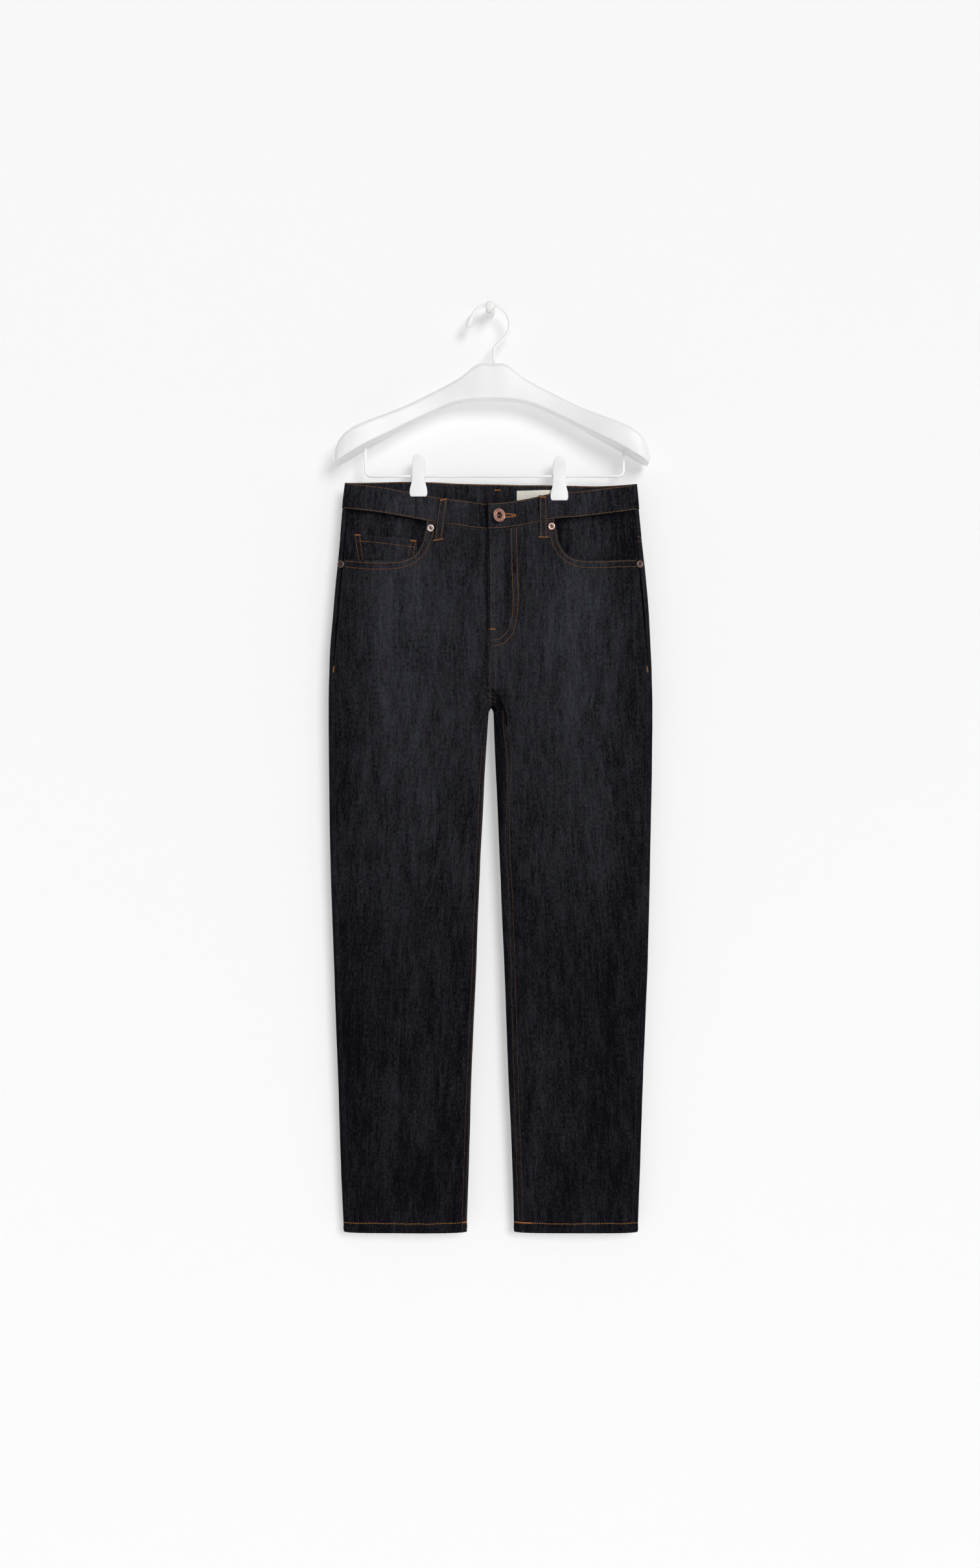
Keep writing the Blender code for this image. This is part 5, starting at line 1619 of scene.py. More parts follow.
@dataclass
class PocketFacing:
    """The denim behind a front pocket mouth."""

    side: Side
    form: JeansForm
    finishes: Finishes
    inner_u: float = 76
    bottom_z: float = -392
    cut: Cut = (148, 96, 0.97)

    def level(self) -> float:
        """The facing's outer level, deeper on the side where the coin pocket lies on it."""
        return -3.5 if self.side is Side.RIGHT else -1.9

    def folds(self, x: Array, z: Array) -> Array:
        """Slack of the facing under the waistband."""
        drop = np.exp(-(((z + 303) / 7) ** 2))
        slack = -0.9 * drop * np.exp(-(((np.abs(x) - 130) / 34) ** 2))
        return slack + 0.35 * smooth_noise(x / 22, z / 14, 40 + self.side.value)

    def build(self) -> Piece:
        """Makes the facing."""
        half = self.form.halves[self.side]

        def span(k: int) -> Point:
            """Start and end of the facing on a ring."""
            ring = half.rings[k]
            start = float(np.interp(self.inner_u, ring.front_u, ring.front_length))
            return start, half.outseam(k) - SEAM_GAP / 2

        table = half.columns(span, shares(44))
        level = np.full(table.shape[1], -305)
        x = half.at(level, half.read(table, level))[0][:, 0]
        top = band_low(x) - BAND_SEAM_GAP
        down = shares(26)[:, None]
        z = top * (1 - down) + self.bottom_z * down
        along = half.read(table, z)
        x = half.at(z, along)[0][..., 0]
        patch = patch_on(self.form, self.side, z, along, self.level() + self.folds(x, z), 1.2, "r")
        reach = np.abs(x)
        patch.pale = patch.pale * 0.66 + 0.10 * np.exp(-(((reach - 152) / 26) ** 2) - ((z + 346) / 20) ** 2)
        # Painted shade: darker just under the waistband's lower edge and along the pocket mouth's edge near x
        # 92.
        patch.pale -= 0.55 * np.exp(-(((top - z) / 6.5) ** 2)) + 0.40 * np.exp(-(((reach - 92) / 15) ** 2))
        patch.pale = np.maximum(patch.pale, WASH_AND_SHADE_LEAST)
        name = f"pocket_facing_{self.side.word}"
        return cloth_piece(name, patch, self.finishes.facing, 0.4)


@dataclass
class CoinPocket:
    """The small pocket on the right facing, running down behind the front panel."""

    form: JeansForm
    finishes: Finishes
    u: Point = (104, 194)
    top_z: Point = (-336.8, -327)
    bottom_z: float = -388
    level: float = -1.9
    cut: Cut = (90, 60, 0.94)

    def build(self) -> Piece:
        """Makes the pocket."""
        half = self.form.halves[Side.RIGHT]
        over, down = shares(26, 0.015), shares(16, 0.03)[:, None]
        x = middle_x(-340) - (self.u[0] * (1 - over) + self.u[1] * over)
        top = self.top_z[0] * (1 - over) + self.top_z[1] * over
        top = top + 1.2 * np.sin(math.pi * over * 2.2)
        z = top * (1 - down) + self.bottom_z * down
        along = half.along(x + 0 * z, z, Face.FRONT)
        sag = 0.5 * np.exp(-((down / 0.2) ** 2)) * np.sin(math.pi * over)
        patch = patch_on(self.form, Side.RIGHT, z, along, self.level + sag, 1.1, "tlr")
        patch.pale *= 0.95
        return cloth_piece("coin_pocket", patch, self.finishes.facing, 0.5)


@dataclass
class BackPocket:
    """A patch pocket with a pointed bottom, laid on the back panel."""

    side: Side
    form: JeansForm
    finishes: Finishes
    centre_u: float = 112
    top_z: float = -392
    top_width: float = 150
    bottom_width: float = 128
    side_height: float = 142
    point: float = 18
    slant: float = 4
    level: float = 2
    wall: float = 1.5
    cut: Cut = (150, 160, 0.87)

    def place(self, over: Array, down: Array) -> tuple[Array, Array]:
        """Distances out from the centre seam, and heights, at shares across and down."""
        width = self.top_width * (1 - down) + self.bottom_width * down
        u = self.centre_u + (over - 0.5) * width
        height = self.side_height + self.point * (1 - np.abs(2 * over - 1))
        return u, self.top_z - self.slant * (1 - over) - height * down

    def build(self) -> Piece:
        """Makes the pocket."""
        half = self.form.halves[self.side]
        over, down = shares(40, 0.01), shares(38, 0.01)[:, None]
        u, z = self.place(over, down)
        along = half.along(middle_x(z) + self.side.value * u, z, Face.BACK)
        bag = 0.7 * np.sin(math.pi * over) * np.sin(math.pi * down) ** 0.6
        patch = patch_on(self.form, self.side, z, along, self.level, self.wall, "tblr", bag)
        name, under = f"back_pocket_{self.side.word}", [f"back_{self.side.word}"]
        return cloth_piece(name, patch, self.finishes.denim["pocket"], 0.6)


class LoopPlace(NamedTuple):
    """Where a belt loop's middle lies at its top and at its bottom."""

    name: str
    face: Face
    top_x: float
    bottom_x: float


LOOPS = table_of(
    LoopPlace,
    ("belt_loop_front_right", Face.FRONT, -66, -75), ("belt_loop_front_left", Face.FRONT, 76, 77),
    ("belt_loop_back_right", Face.BACK, -146, -147), ("belt_loop_back_left", Face.BACK, 146, 147),
    ("belt_loop_centre_back", Face.BACK, 10, 9),
)


class LoopRise(NamedTuple):
    """How far a loop's inner face stands off the panels, down its length."""

    share: float
    level: float


LOOP_RISES = table_of(
    LoopRise,
    (0, 1.4), (0.06, 1.5), (0.5, 2.1), (0.62, 1.9), (0.72, 1.6), (0.86, 1), (1, 0.6),
)
loop_rise = column(LOOP_RISES, "share", "level")


@dataclass
class BeltLoop:
    """A loop over the waistband, tacked at the band's top edge and on the panel below it."""

    place: LoopPlace
    form: JeansForm
    finishes: Finishes
    width: float = 12
    wall: float = 1.9
    below_band: float = 25.5

    def at(self, over: Array, down: Array) -> tuple[Array, Array]:
        """Places seen from the front, at shares across and down."""
        top = float(BAND_TOP[self.place.face](self.place.top_x)) - 0.4
        length = BAND_HEIGHT + self.below_band
        middle = self.place.top_x * (1 - down) + self.place.bottom_x * down
        lean = (self.place.top_x - self.place.bottom_x) / length
        return middle + self.width * (over - 0.5), top - length * down + lean * self.width * (over - 0.5)

    def grid(self, over: Array, down: Array) -> tuple[Array, Array]:
        """Points on the creased cloth under the loop, and the outward directions."""
        return self.form.grid(*self.at(over, down), self.place.face)

    def build(self) -> Piece:
        """Makes the loop."""
        down = shares(22, 0.012)[:, None]
        over = shares(6, 0.05) + 0 * down
        down = down + 0 * over
        points, normals = self.grid(over, down)
        inner_level = loop_rise(down)
        crown = 0.35 * np.sin(math.pi * over) ** 0.6
        outer = points + normals * (inner_level + self.wall - 0.3 + crown)[..., None]
        inner = points + normals * inner_level[..., None]
        x, z = self.at(over, down)
        weave = np.stack([x + 90, z], -1)
        patch = Patch(outer, inner, weave, wash(x, z) * 1.05, edge_nearness(outer, "tblr", 1.8))
        return cloth_piece(self.place.name, patch, self.finishes.denim["loop"], 0.55)


@dataclass
class WaistLabel:
    """A blank woven label inside the back of the waistband, sewn down at its ends."""

    form: JeansForm
    finishes: Finishes
    x: Point = (39, 97.5)
    z: Point = (-263.5, -289)
    level: float = -2.5
    wall: float = 0.5

    def build(self) -> Piece:
        """Makes the label."""
        over, down = shares(24, 0.01), shares(9, 0.03)[:, None]
        x = self.x[0] * (1 - over) + self.x[1] * over + 0 * down
        z = self.z[0] * (1 - down) + self.z[1] * down + 0 * over
        half = self.form.halves[Side.LEFT]
        along = half.along(x, z, Face.BACK)
        points, normals = half.at(z, along)
        lift = 0.25 * np.sin(math.pi * over * 2) * np.sin(math.pi * down)
        relief = self.form.relief(x, z, np.zeros(x.shape, bool))
        outer = points + normals * (self.level + relief - lift)[..., None]
        inner = outer + normals * self.wall
        patch = Patch(outer, inner, np.stack([x, z], -1), np.ones(x.shape), np.zeros(x.shape))
        return cloth_piece("waist_label", patch, self.finishes.label, 0.2)


# Stitches


class Thread(Enum):
    """The threads, by the name of their finish."""

    TAN = "thread"
    TACK = "tack"
    TONAL = "tonal"
    FADED = "faded"


class StitchSize(NamedTuple):
    """Length, pitch, width and height of one kind of stitch."""

    length: float
    pitch: float
    width: float
    height: float


STITCH_SIZES = {
    Thread.TAN: StitchSize(2.9, 3.6, 0.85, 0.60),
    Thread.TACK: StitchSize(2.3, 0.62, 0.72, 0.60),
    Thread.TONAL: StitchSize(2.6, 3.3, 0.60, 0.40),
    Thread.FADED: StitchSize(2.7, 3.6, 0.80, 0.50),
}
STITCH_RINGS = ((-1, 0.30), (-0.72, 0.80), (-0.25, 1), (0.25, 1), (0.72, 0.80), (1, 0.30))
STITCH_SIDES = 6
STITCH_SINK = 0.16
STITCH_TILT, STITCH_STRAY = 0.07, 0.10


@dataclass
class StitchWork:
    """The stitches of one piece of sewing, joined into one mesh for each thread."""

    name: str
    form: JeansForm
    finishes: Finishes
    seed: int
    placed: dict[Thread, list[tuple[Array, ...]]] = field(default_factory=dict)

    def lay(
        self, points: Array, normals: Array, thread: Thread = Thread.TAN, across: bool = False
    ) -> None:
        """Lays stitches end to end along points, or side by side across them.

        Args:
            points: Places at even steps of a stitch's pitch.
            normals: Outward directions there.
            thread: The kind of thread.
            across: Whether each stitch lies across the line, as in a bar tack.
        """
        middles = (points[1:] + points[:-1]) / 2
        ahead = points[1:] - points[:-1]
        ahead /= np.maximum(np.linalg.norm(ahead, axis=1, keepdims=True), 1e-9)
        up = normals[1:] + normals[:-1]
        up /= np.linalg.norm(up, axis=1, keepdims=True)
        aside = np.cross(up, ahead)
        aside /= np.linalg.norm(aside, axis=1, keepdims=True)
        if across:
            ahead, aside = aside, ahead
        self.placed.setdefault(thread, []).append((middles, ahead, aside, up))

    def run(
        self, path: Sequence[Point], face: Face = Face.FRONT, level: Callable | float = 0,
        thread: Thread = Thread.TAN, inside: bool = False,
    ) -> None:
        """A row of stitches through places seen from the front.

        Args:
            path: Places that the row passes through.
            face: The wall that it lies on.
            level: How far the cloth under it stands off the panels, or a function of x.
            thread: The kind of thread.
            inside: Whether it lies on the wall's inner side.
        """
        places = smooth_path(path, STITCH_SIZES[thread].pitch)
        points, normals = self.form.spots(places, face)
        off = level(places[:, 0]) if callable(level) else np.full(len(places), level)
        points = points + normals * off[:, None]
        self.lay(points, -normals if inside else normals, thread)

    def follow(
        self, side: Side, table: Array, from_z: float, to_z: float, level: float = 0,
        thread: Thread = Thread.TAN,
    ) -> None:
        """A row down a leg whose length round each ring is known.

        Args:
            side: Which leg.
            table: The length round each ring of that half.
            from_z: Where the row begins.
            to_z: Where it ends.
            level: How far the cloth under it stands off the panels.
            thread: The kind of thread.
        """
        half = self.form.halves[side]
        fine = np.linspace(from_z, to_z, max(2, int(abs(to_z - from_z) / 2)))
        points, normals = self.form.cloth(side, fine, half.read(table[:, None], fine[:, None])[:, 0])
        points = points + normals * level
        self.lay(*even_steps(points, STITCH_SIZES[thread].pitch, points, normals), thread)

    def tack(
        self, start: Point, end: Point, face: Face = Face.FRONT, level: float = 0, inside: bool = False
    ) -> None:
        """A bar tack from one place to another."""
        places = smooth_path([start, end], STITCH_SIZES[Thread.TACK].pitch)
        points, normals = self.form.spots(places, face)
        points = points + normals * level
        self.lay(points, -normals if inside else normals, Thread.TACK, across=True)

    def build(self) -> list[Piece]:
        """Makes one mesh for each thread."""
        made = []
        for thread, rows in self.placed.items():
            middles, ahead, aside, up = (np.concatenate(parts) for parts in zip(*rows))
            rng = np.random.default_rng(self.seed)
            count = len(middles)
            size = STITCH_SIZES[thread]
            tilt = rng.normal(0, STITCH_TILT, (count, 1))
            ahead, aside = ahead + aside * tilt, aside - ahead * tilt
            middles = middles + aside * rng.normal(0, STITCH_STRAY, (count, 1)) + up * STITCH_SINK
            rings = []
            for along, share in STITCH_RINGS:
                for k in range(STITCH_SIDES):
                    angle = 2 * math.pi * (k + 0.5) / STITCH_SIDES
                    rings.append(
                        middles + ahead * (along * size.length / 2)
                        + aside * (math.cos(angle) * share * size.width / 2)
                        + up * (math.sin(angle) * share * size.height / 2)
                        - up * (0.32 * along * along * size.height)
                    )
            points = np.stack(rings, 1).reshape(-1, 3)
            base = np.arange(count)[:, None] * len(rings)
            faces: list = []
            for quad in tube_faces(len(STITCH_RINGS), STITCH_SIDES):
                faces += (base + quad).tolist()
            last = (len(STITCH_RINGS) - 1) * STITCH_SIDES
            faces += (base + np.arange(STITCH_SIDES)).tolist()
            faces += (base + last + np.arange(STITCH_SIDES)[::-1]).tolist()
            piece = link_mesh(f"{self.name}_{thread.name.lower()}", points, faces,
                              getattr(self.finishes, thread.value))
            made.append(settle(piece))
        return made


MOUTH_STITCHES = {
    Side.RIGHT: (
        ((-89.6, -305), (-90.6, -317), (-92.2, -325.8), (-94.8, -337), (-99.6, -349.4),
         (-108.8, -361.4), (-122.4, -367.9), (-147.7, -370.6), (-172.9, -370.4), (-209.5, -367.4)),
        ((-81.6, -304.5), (-82.2, -322), (-84.1, -333), (-88.8, -346.2), (-97.2, -360.1),
         (-114, -372.3), (-130.8, -377.9), (-156.1, -379.7), (-181.3, -378.8), (-208.5, -376)),
    ),
    Side.LEFT: (
        ((91.2, -304), (92.6, -316), (94.6, -326), (97.6, -340.5), (103.4, -352.8), (115.4, -363.6),
         (129.9, -368.3), (152.3, -369.4), (185, -368), (212, -366.9)),
        ((83.2, -303.5), (84.4, -318), (86.6, -329), (91.4, -344.4), (99.6, -359.2), (112.1, -369.6),
         (129, -376), (152.3, -377.6), (185, -376.3), (211, -375.4)),
    ),
}
FLY_INNER_ROW = (
    (30.8, -320), (31.6, -352), (31.8, -381.6), (33.4, -417.1), (30.8, -453.6), (25.2, -469.6),
    (15, -479.9), (1.4, -483.4),
)
FLY_OUTER_ROW = (
    (37.8, -320), (38.6, -352), (39.2, -381.6), (40.5, -424.6), (37.6, -454.4), (32, -473.2),
    (23, -484.4), (13, -489.6), (1.4, -491),
)
LEFT_INSEAM_ROWS = (
    ((18.8, -600), (19.9, -615.2), (24, -641.4), (25.2, -673.2), (25.2, -696.5), (24.3, -727.4),
     (22.4, -758.2), (27.1, -860.1), (34, -1095), (41.1, -1323.6)),
    ((25.8, -600), (27, -615.2), (29.9, -641.4), (30.8, -673.2), (29.4, -696.5), (28, -727.4),
     (28, -758.2), (32.7, -860.1), (40.2, -1095), (47.7, -1323.6)),
)


@dataclass
class Sewing:
    """All of the garment's stitches."""

    form: JeansForm
    finishes: Finishes

    def work(self, name: str, seed: int) -> StitchWork:
        """An empty piece of sewing."""
        return StitchWork(f"stitches_{name}", self.form, self.finishes, seed)

    @staticmethod
    def band_level(x: Array) -> Array:
        """Outer level of the waistband's front."""
        front = np.ones(np.shape(x), bool)
        return Waistband.levels(np.asarray(x), front, ~front)[0] + 0.25

    def waistband(self) -> list[Piece]:
        """Rows along both edges of the waistband, its end, and the rows seen on its inside."""
        w = self.work("waistband", 1)
        for drop in (1.6, BAND_HEIGHT - 1.2):
            for start, end in ((-211, OVERLAP_END_X - 0.8), (OVERLAP_END_X + 1, 213)):
                x = np.linspace(start, end, 24)
                w.run(np.stack([x, BAND_TOP[Face.FRONT](x) - drop], -1), level=self.band_level)
            x = np.linspace(-211, 213, 30)
            back = np.stack([x, BAND_TOP[Face.BACK](x) - drop], -1)
            w.run(back, Face.BACK, BAND_OUTER + 0.2)
            w.run(back, Face.BACK, BAND_INNER - 0.15, inside=True)
        w.run(back + (0, BAND_HEIGHT - 1.9), Face.BACK, BAND_INNER - 0.1, inside=True)
        for inset in (1.7, 6.8):
            x = OVERLAP_END_X + inset
            top = float(BAND_TOP[Face.FRONT](x))
            rows = [(x, top - 4.5), (x + 0.5, top - 20), (x + 1.2, top - BAND_HEIGHT + 4.5)]
            w.run(rows, level=self.band_level, thread=Thread.TONAL)
        w.tack((6.2, -262.6), (15.6, -262.6), Face.BACK, BAND_INNER - 0.3, inside=True)
        return w.build()

    def fly(self) -> list[Piece]:
        """The fly's curved double row, its edge row and tack, and the crotch's rows."""
        w = self.work("fly", 2)
        w.run(FLY_INNER_ROW)
        w.run(FLY_OUTER_ROW)
        w.run([(1.6, -324), (1.3, -400), (1.1, -486)], thread=Thread.FADED)
        w.tack((-0.6, -466.7), (7.8, -466.7), level=0.1)
        w.run([(1.1, -491), (1, -530), (0.8, -576)], thread=Thread.FADED)
        w.run([(8.6, -497), (8.4, -530), (7.6, -556)], thread=Thread.FADED)
        for drop in (0, 6.4):
            row = [(-3.4, -562.4 - drop), (3, -563.4 - drop), (8.6, -566.2 - drop)]
            w.run(row, level=0.2, thread=Thread.FADED)
        return w.build()

    def front_pockets(self) -> list[Piece]:
        """Double rows round the pocket mouths, and the coin pocket's rows and tacks."""
        w = self.work("front_pockets", 3)
        for rows in MOUTH_STITCHES.values():
            for row in rows:
                w.run(row, level=0.3)
        coin = -1.9
        w.run([(-190.4, -337.9), (-150, -342.2), (-108.6, -347.2)], level=coin + 0.1)
        for x, low_x in ((-196, -190.2), (-189, -184.4)):
            w.run([(x, -330.5), (x * 0.45 + low_x * 0.55, -349), (low_x, -366.5)], level=coin + 0.1)
        for x, low_x in ((-107.4, -111.6), (-113.2, -117.4)):
            w.run([(x, -338.5), (x * 0.45 + low_x * 0.55, -349), (low_x, -360.5)], level=coin + 0.1)
        w.tack((-196.2, -329.2), (-187.4, -329.6), level=coin + 0.2)
        w.tack((-106.6, -338.2), (-114.8, -337.4), level=coin + 0.2)
        return w.build()

    def seat(self) -> list[Piece]:
        """Double rows along the yokes and the seat seam, and round the back pockets."""
        w = self.work("seat", 4)
        for side in Side:
            sign = side.value
            for drop in (-2.4, -8.6):
                x = np.linspace(4, 216, 18)
                reach = x / 218
                z = YOKE_MIDDLE_Z + (YOKE_SIDE_Z - YOKE_MIDDLE_Z) * reach + drop
                w.run(np.stack([sign * x + WAIST_MIDDLE_X, z], -1), Face.BACK, 0)
            pocket = BackPocket(side, self.form, self.finishes)
            for inset in (2.2, 8.4):
                lip = inset / pocket.top_width
                low = 1 - inset / pocket.side_height
                over = [lip, lip, 0.5, 1 - lip, 1 - lip]
                down = [0.02, low, low, low, 0.02]
                for a, b in zip(range(4), range(1, 5)):
                    t = np.linspace(0, 1, 14)
                    s = over[a] * (1 - t) + over[b] * t
                    d = down[a] * (1 - t) + down[b] * t
                    u, z = pocket.place(s, d)
                    w.run(np.stack([middle_x(z) + sign * u, z], -1), Face.BACK, pocket.level + 0.3)
            for drop in (5, 12):
                t = np.linspace(0.012, 0.988, 14)
                u, z = pocket.place(t, np.full(14, drop / pocket.side_height))
                w.run(np.stack([middle_x(z) + sign * u, z], -1), Face.BACK, pocket.level + 0.3)
            for t in (0.012, 0.94):
                u, z = pocket.place(np.array([t, t + 0.05]), np.array([0.03, 0.03]))
                x = middle_x(z) + sign * u
                w.tack((x[0], z[0]), (x[1], z[1]), Face.BACK, pocket.level + 0.4)
        for off in (2, 8.2):
            z = np.linspace(-294, CROTCH_Z + 6, 30)
            w.run(np.stack([middle_x(z) + off, z], -1), Face.BACK, 0.1)
        for z in (-331.2, -338.6):
            w.run([(213.2, z), (219.4, z)], level=0.3)
        return w.build()

    def legs(self) -> list[Piece]:
        """Inseams, outseams with their tacks, and hems."""
        made = []
        for side in Side:
            w = self.work(f"leg_{side.word}", 6 + side.value)
            half = self.form.halves[side]
            inseam = np.array([half.inseam(k) for k in range(len(half.rings))])
            outseam = np.array([half.outseam(k) for k in range(len(half.rings))])
            hem = HEM_Z + HEM_DEPTH
            if side is Side.LEFT:
                w.run([(17.6, -584), (18.6, -598), (19.4, -613)], level=-2.1, thread=Thread.FADED)
                for row in LEFT_INSEAM_ROWS:
                    w.run(row, level=0.2, thread=Thread.FADED)
            else:
                for off in (0.4, 6.2):
                    w.follow(side, inseam + off, -634, HEM_Z + 2.5, 0.2, Thread.FADED)
            w.follow(side, outseam - 3.2, -376, hem, 0.2, Thread.TONAL)
            w.follow(side, outseam + 2.6, -300, -523, 0.2, Thread.TONAL)
            x = float(OUTER_X[side](-523.7)) - side.value * (OUTSEAM_INSET + 1)
            w.tack((x, -519.6), (x + side.value, -528.6), level=0.3)
            self.hem(w, side, half)
            inner = float(INNER_X[side](hem)) + side.value * 1.5
            reach = 24 if side is Side.LEFT else 5
            for rise, level in ((2.9, 0.4), (2.2, 0.5), (1.4, 0.4)):
                edge = [(inner + side.value * t * reach, hem + rise) for t in (0, 0.5, 1)]
                w.run(edge, level=level, thread=Thread.TACK)
            made += w.build()
        return made

    @staticmethod
    def hem(w: StitchWork, side: Side, half: HalfForm) -> None:
        """The row round one hem."""
        z = HEM_Z + HEM_DEPTH + 2
        total = float(half.total(np.array(z)))
        count = round(total / STITCH_SIZES[Thread.TAN].pitch)
        along = np.linspace(0, total, count + 1)
        wander = 0.35 * np.sin(along / 17) + 0.25 * np.sin(along / 5.3)
        for drop in (0, 0.8):
            points, normals = w.form.cloth(side, z - drop + wander, along)
            w.lay(points + normals * 0.15, normals)

    def loops(self) -> list[Piece]:
        """Two rows down each belt loop and its tacks."""
        w = self.work("belt_loops", 12)
        for place in LOOPS:
            loop = BeltLoop(place, self.form, self.finishes)
            for over in (0.17, 0.83):
                down = np.linspace(0.03, 0.97, 17)
                points, normals = loop.grid(np.full((17, 1), over), down[:, None])
                points, normals = points[:, 0], normals[:, 0]
                points = points + normals * (loop_rise(down) + loop.wall - 0.15)[:, None]
                w.lay(points, normals)
            for down, ends in ((0.035, (0.08, 0.92)), (0.965, (-0.12, 1.12))):
                over = np.linspace(*ends, 18)
                points, normals = loop.grid(over[None, :], np.full((1, 18), down))
                points, normals = points[0], normals[0]
                points = points + normals * (float(loop_rise(down)) + loop.wall + 0.05)
                w.lay(points, normals, Thread.TACK, across=True)
        return w.build()

    def buttonhole(self) -> list[Piece]:
        """The keyhole buttonhole: close stitches round a slit that ends in a point."""
        w = self.work("buttonhole", 15)
        for path in (((14, -299.4), (24, -299.8), (37.4, -301.6)),
                     ((14, -305.4), (24, -304.8), (37.4, -302.8))):
            places = smooth_path(path, STITCH_SIZES[Thread.TACK].pitch)
            points, normals = self.form.spots(places, Face.FRONT)
            points = points + normals * (self.band_level(places[:, 0])[:, None] + 0.1)
            w.lay(points, normals, Thread.TACK, across=True)
        return w.build()

    def build(self) -> list[Piece]:
        """Makes all the stitches."""
        return (
            self.waistband() + self.fly() + self.front_pockets() + self.seat() + self.legs()
            + self.loops() + self.buttonhole()
        )


# Hardware


class Turn(NamedTuple):
    """A point of a turned profile: radius, height, and how hollow and dark it lies, the dark being painted
    shade.
    """

    radius: float
    height: float
    hollow: float = 0


def turned_mesh(
    name: str, profile: Sequence[Turn], steps: int, material: Material, place: Matrix
) -> Piece:
    """A turned shape from a profile, top to bottom, that starts and ends on its axis.

    Args:
        name: The piece's name.
        profile: Radii and heights in millimetres.
        steps: How many steps round.
        material: The finish.
        place: From the shape's own axes, in millimetres, to the frame.

    Returns:
        The piece, with its hollow attribute, which carries painted shade.
    """
    angles = 2 * math.pi * np.arange(steps) / steps
    rings = [
        np.stack([t.radius * np.cos(angles), t.radius * np.sin(angles), np.full(steps, t.height)], -1)
        for t in profile[1:-1]
    ]
    first, last = profile[0], profile[-1]
    points = np.concatenate([*rings, [[0, 0, first.height]], [[0, 0, last.height]]])
    turn = np.array(place)
    points = points @ turn[:3, :3].T + turn[:3, 3]
    end, top = (len(rings) - 1) * steps, len(rings) * steps
    faces = tube_faces(len(rings), steps)
    faces += [[top, i, (i + 1) % steps] for i in range(steps)]
    faces += [[top + 1, end + (i + 1) % steps, end + i] for i in range(steps)]
    piece = link_mesh(name, points, faces, material)
    hollow = np.concatenate([np.full(steps, t.hollow) for t in profile[1:-1]])
    store(piece, "hollow", np.concatenate([hollow, [first.hollow, last.hollow]]))
    return piece


def rounded(profile: Sequence[Turn], step: float) -> list[Turn]:
    """A profile with more points, its corners softened."""
    p = np.array(profile, float)
    for _ in range(2):
        cut = np.empty((2 * len(p) - 2, 3))
        cut[0::2], cut[1::2] = p[:-1] * 0.75 + p[1:] * 0.25, p[:-1] * 0.25 + p[1:] * 0.75
        cut[0], cut[-1] = p[0], p[-1]
        p = cut
    keep = [p[0]]
    for q in p[1:-1]:
        if np.hypot(*(q - keep[-1])[:2]) > step:
            keep.append(q)
    return [Turn(*map(float, q)) for q in [*keep, p[-1]]]


def aimed(point: Sequence[float], direction: Sequence[float]) -> Matrix:
    """A matrix that puts a shape's origin at a point and its Z axis along a direction."""
    turn = Vector(direction).to_track_quat("Z", "Y").to_matrix().to_4x4()
    return Matrix.Translation(Vector(point)) @ turn


@dataclass
class WaistButton:
    """The shank button: a dished head with a raised ring round a hollow, leaning to its hole."""

    form: JeansForm
    finishes: Finishes
    x: float = 10.4
    z: float = -303
    radius: float = 9.7
    tilt: float = 30
    shank_radius: float = 3.6
    shank_length: float = 4.6

    def profile(self) -> list[Turn]:
        """The head and the shank, top to bottom."""
        r = self.radius
        # The third values are painted shade: dark in the dished centre, in the groove, and under the head and
        # round the shank.
        return [
            Turn(0, 0.9, 0), Turn(0.07 * r, 0.7, 0.2), Turn(0.13 * r, -0.5, 1), Turn(0.42 * r, -0.5, 1),
            Turn(0.45 * r, 1.2, 1), Turn(0.49 * r, 1.9, 0), Turn(0.53 * r, 1.8, 0),
            Turn(0.57 * r, 1.2, 0.6), Turn(0.61 * r, 1.1, 0.1), Turn(0.78 * r, 1.2, 0.1),
            Turn(0.82 * r, 1.15, 0.8), Turn(0.87 * r, 2, 0), Turn(0.94 * r, 2.4, 0),
            Turn(0.99 * r, 1.9, 0), Turn(r, 1.3, 0), Turn(0.97 * r, 0.5, 0.3),
            Turn(0.72 * r, 0, 0.8), Turn(self.shank_radius, -0.6, 0.8),
            Turn(self.shank_radius, -self.shank_length, 0.8), Turn(0, -self.shank_length, 0.8),
        ]

    def build(self) -> Piece:
        """Makes the button."""
        points, normals = self.form.halves[Side.LEFT].at(
            np.array(self.z), self.form.halves[Side.LEFT].along(self.x, self.z, Face.FRONT)
        )
        tilt = math.radians(self.tilt)
        lean = Vector((math.sin(tilt), -math.cos(tilt), 0))
        raised = OVERLAP_OUTER + SEAM_GAP + self.shank_radius * math.sin(tilt)
        foot = Vector(points) + Vector(normals) * raised
        place = aimed(foot + lean * self.shank_length, lean)
        piece = turned_mesh("waist_button", rounded(self.profile(), 0.12), 72, self.finishes.copper, place)
        return settle(piece, ["waist_button"])


class RivetPlace(NamedTuple):
    """A rivet at one end of a pocket mouth, and the name of its finish."""

    name: str
    x: float
    z: float
    level: float
    finish: str


# The outer rivets take a dimmer plate than the inner ones.
RIVETS = table_of(
    RivetPlace,
    ("rivet_right_inner", -86, -319.5, 0.8, "silver"), ("rivet_right_outer", -215.6, -371.5, 0.3, "aged"),
    ("rivet_left_inner", 89, -317, 0.8, "rose"), ("rivet_left_outer", 216.8, -371.5, 0.3, "aged"),
)


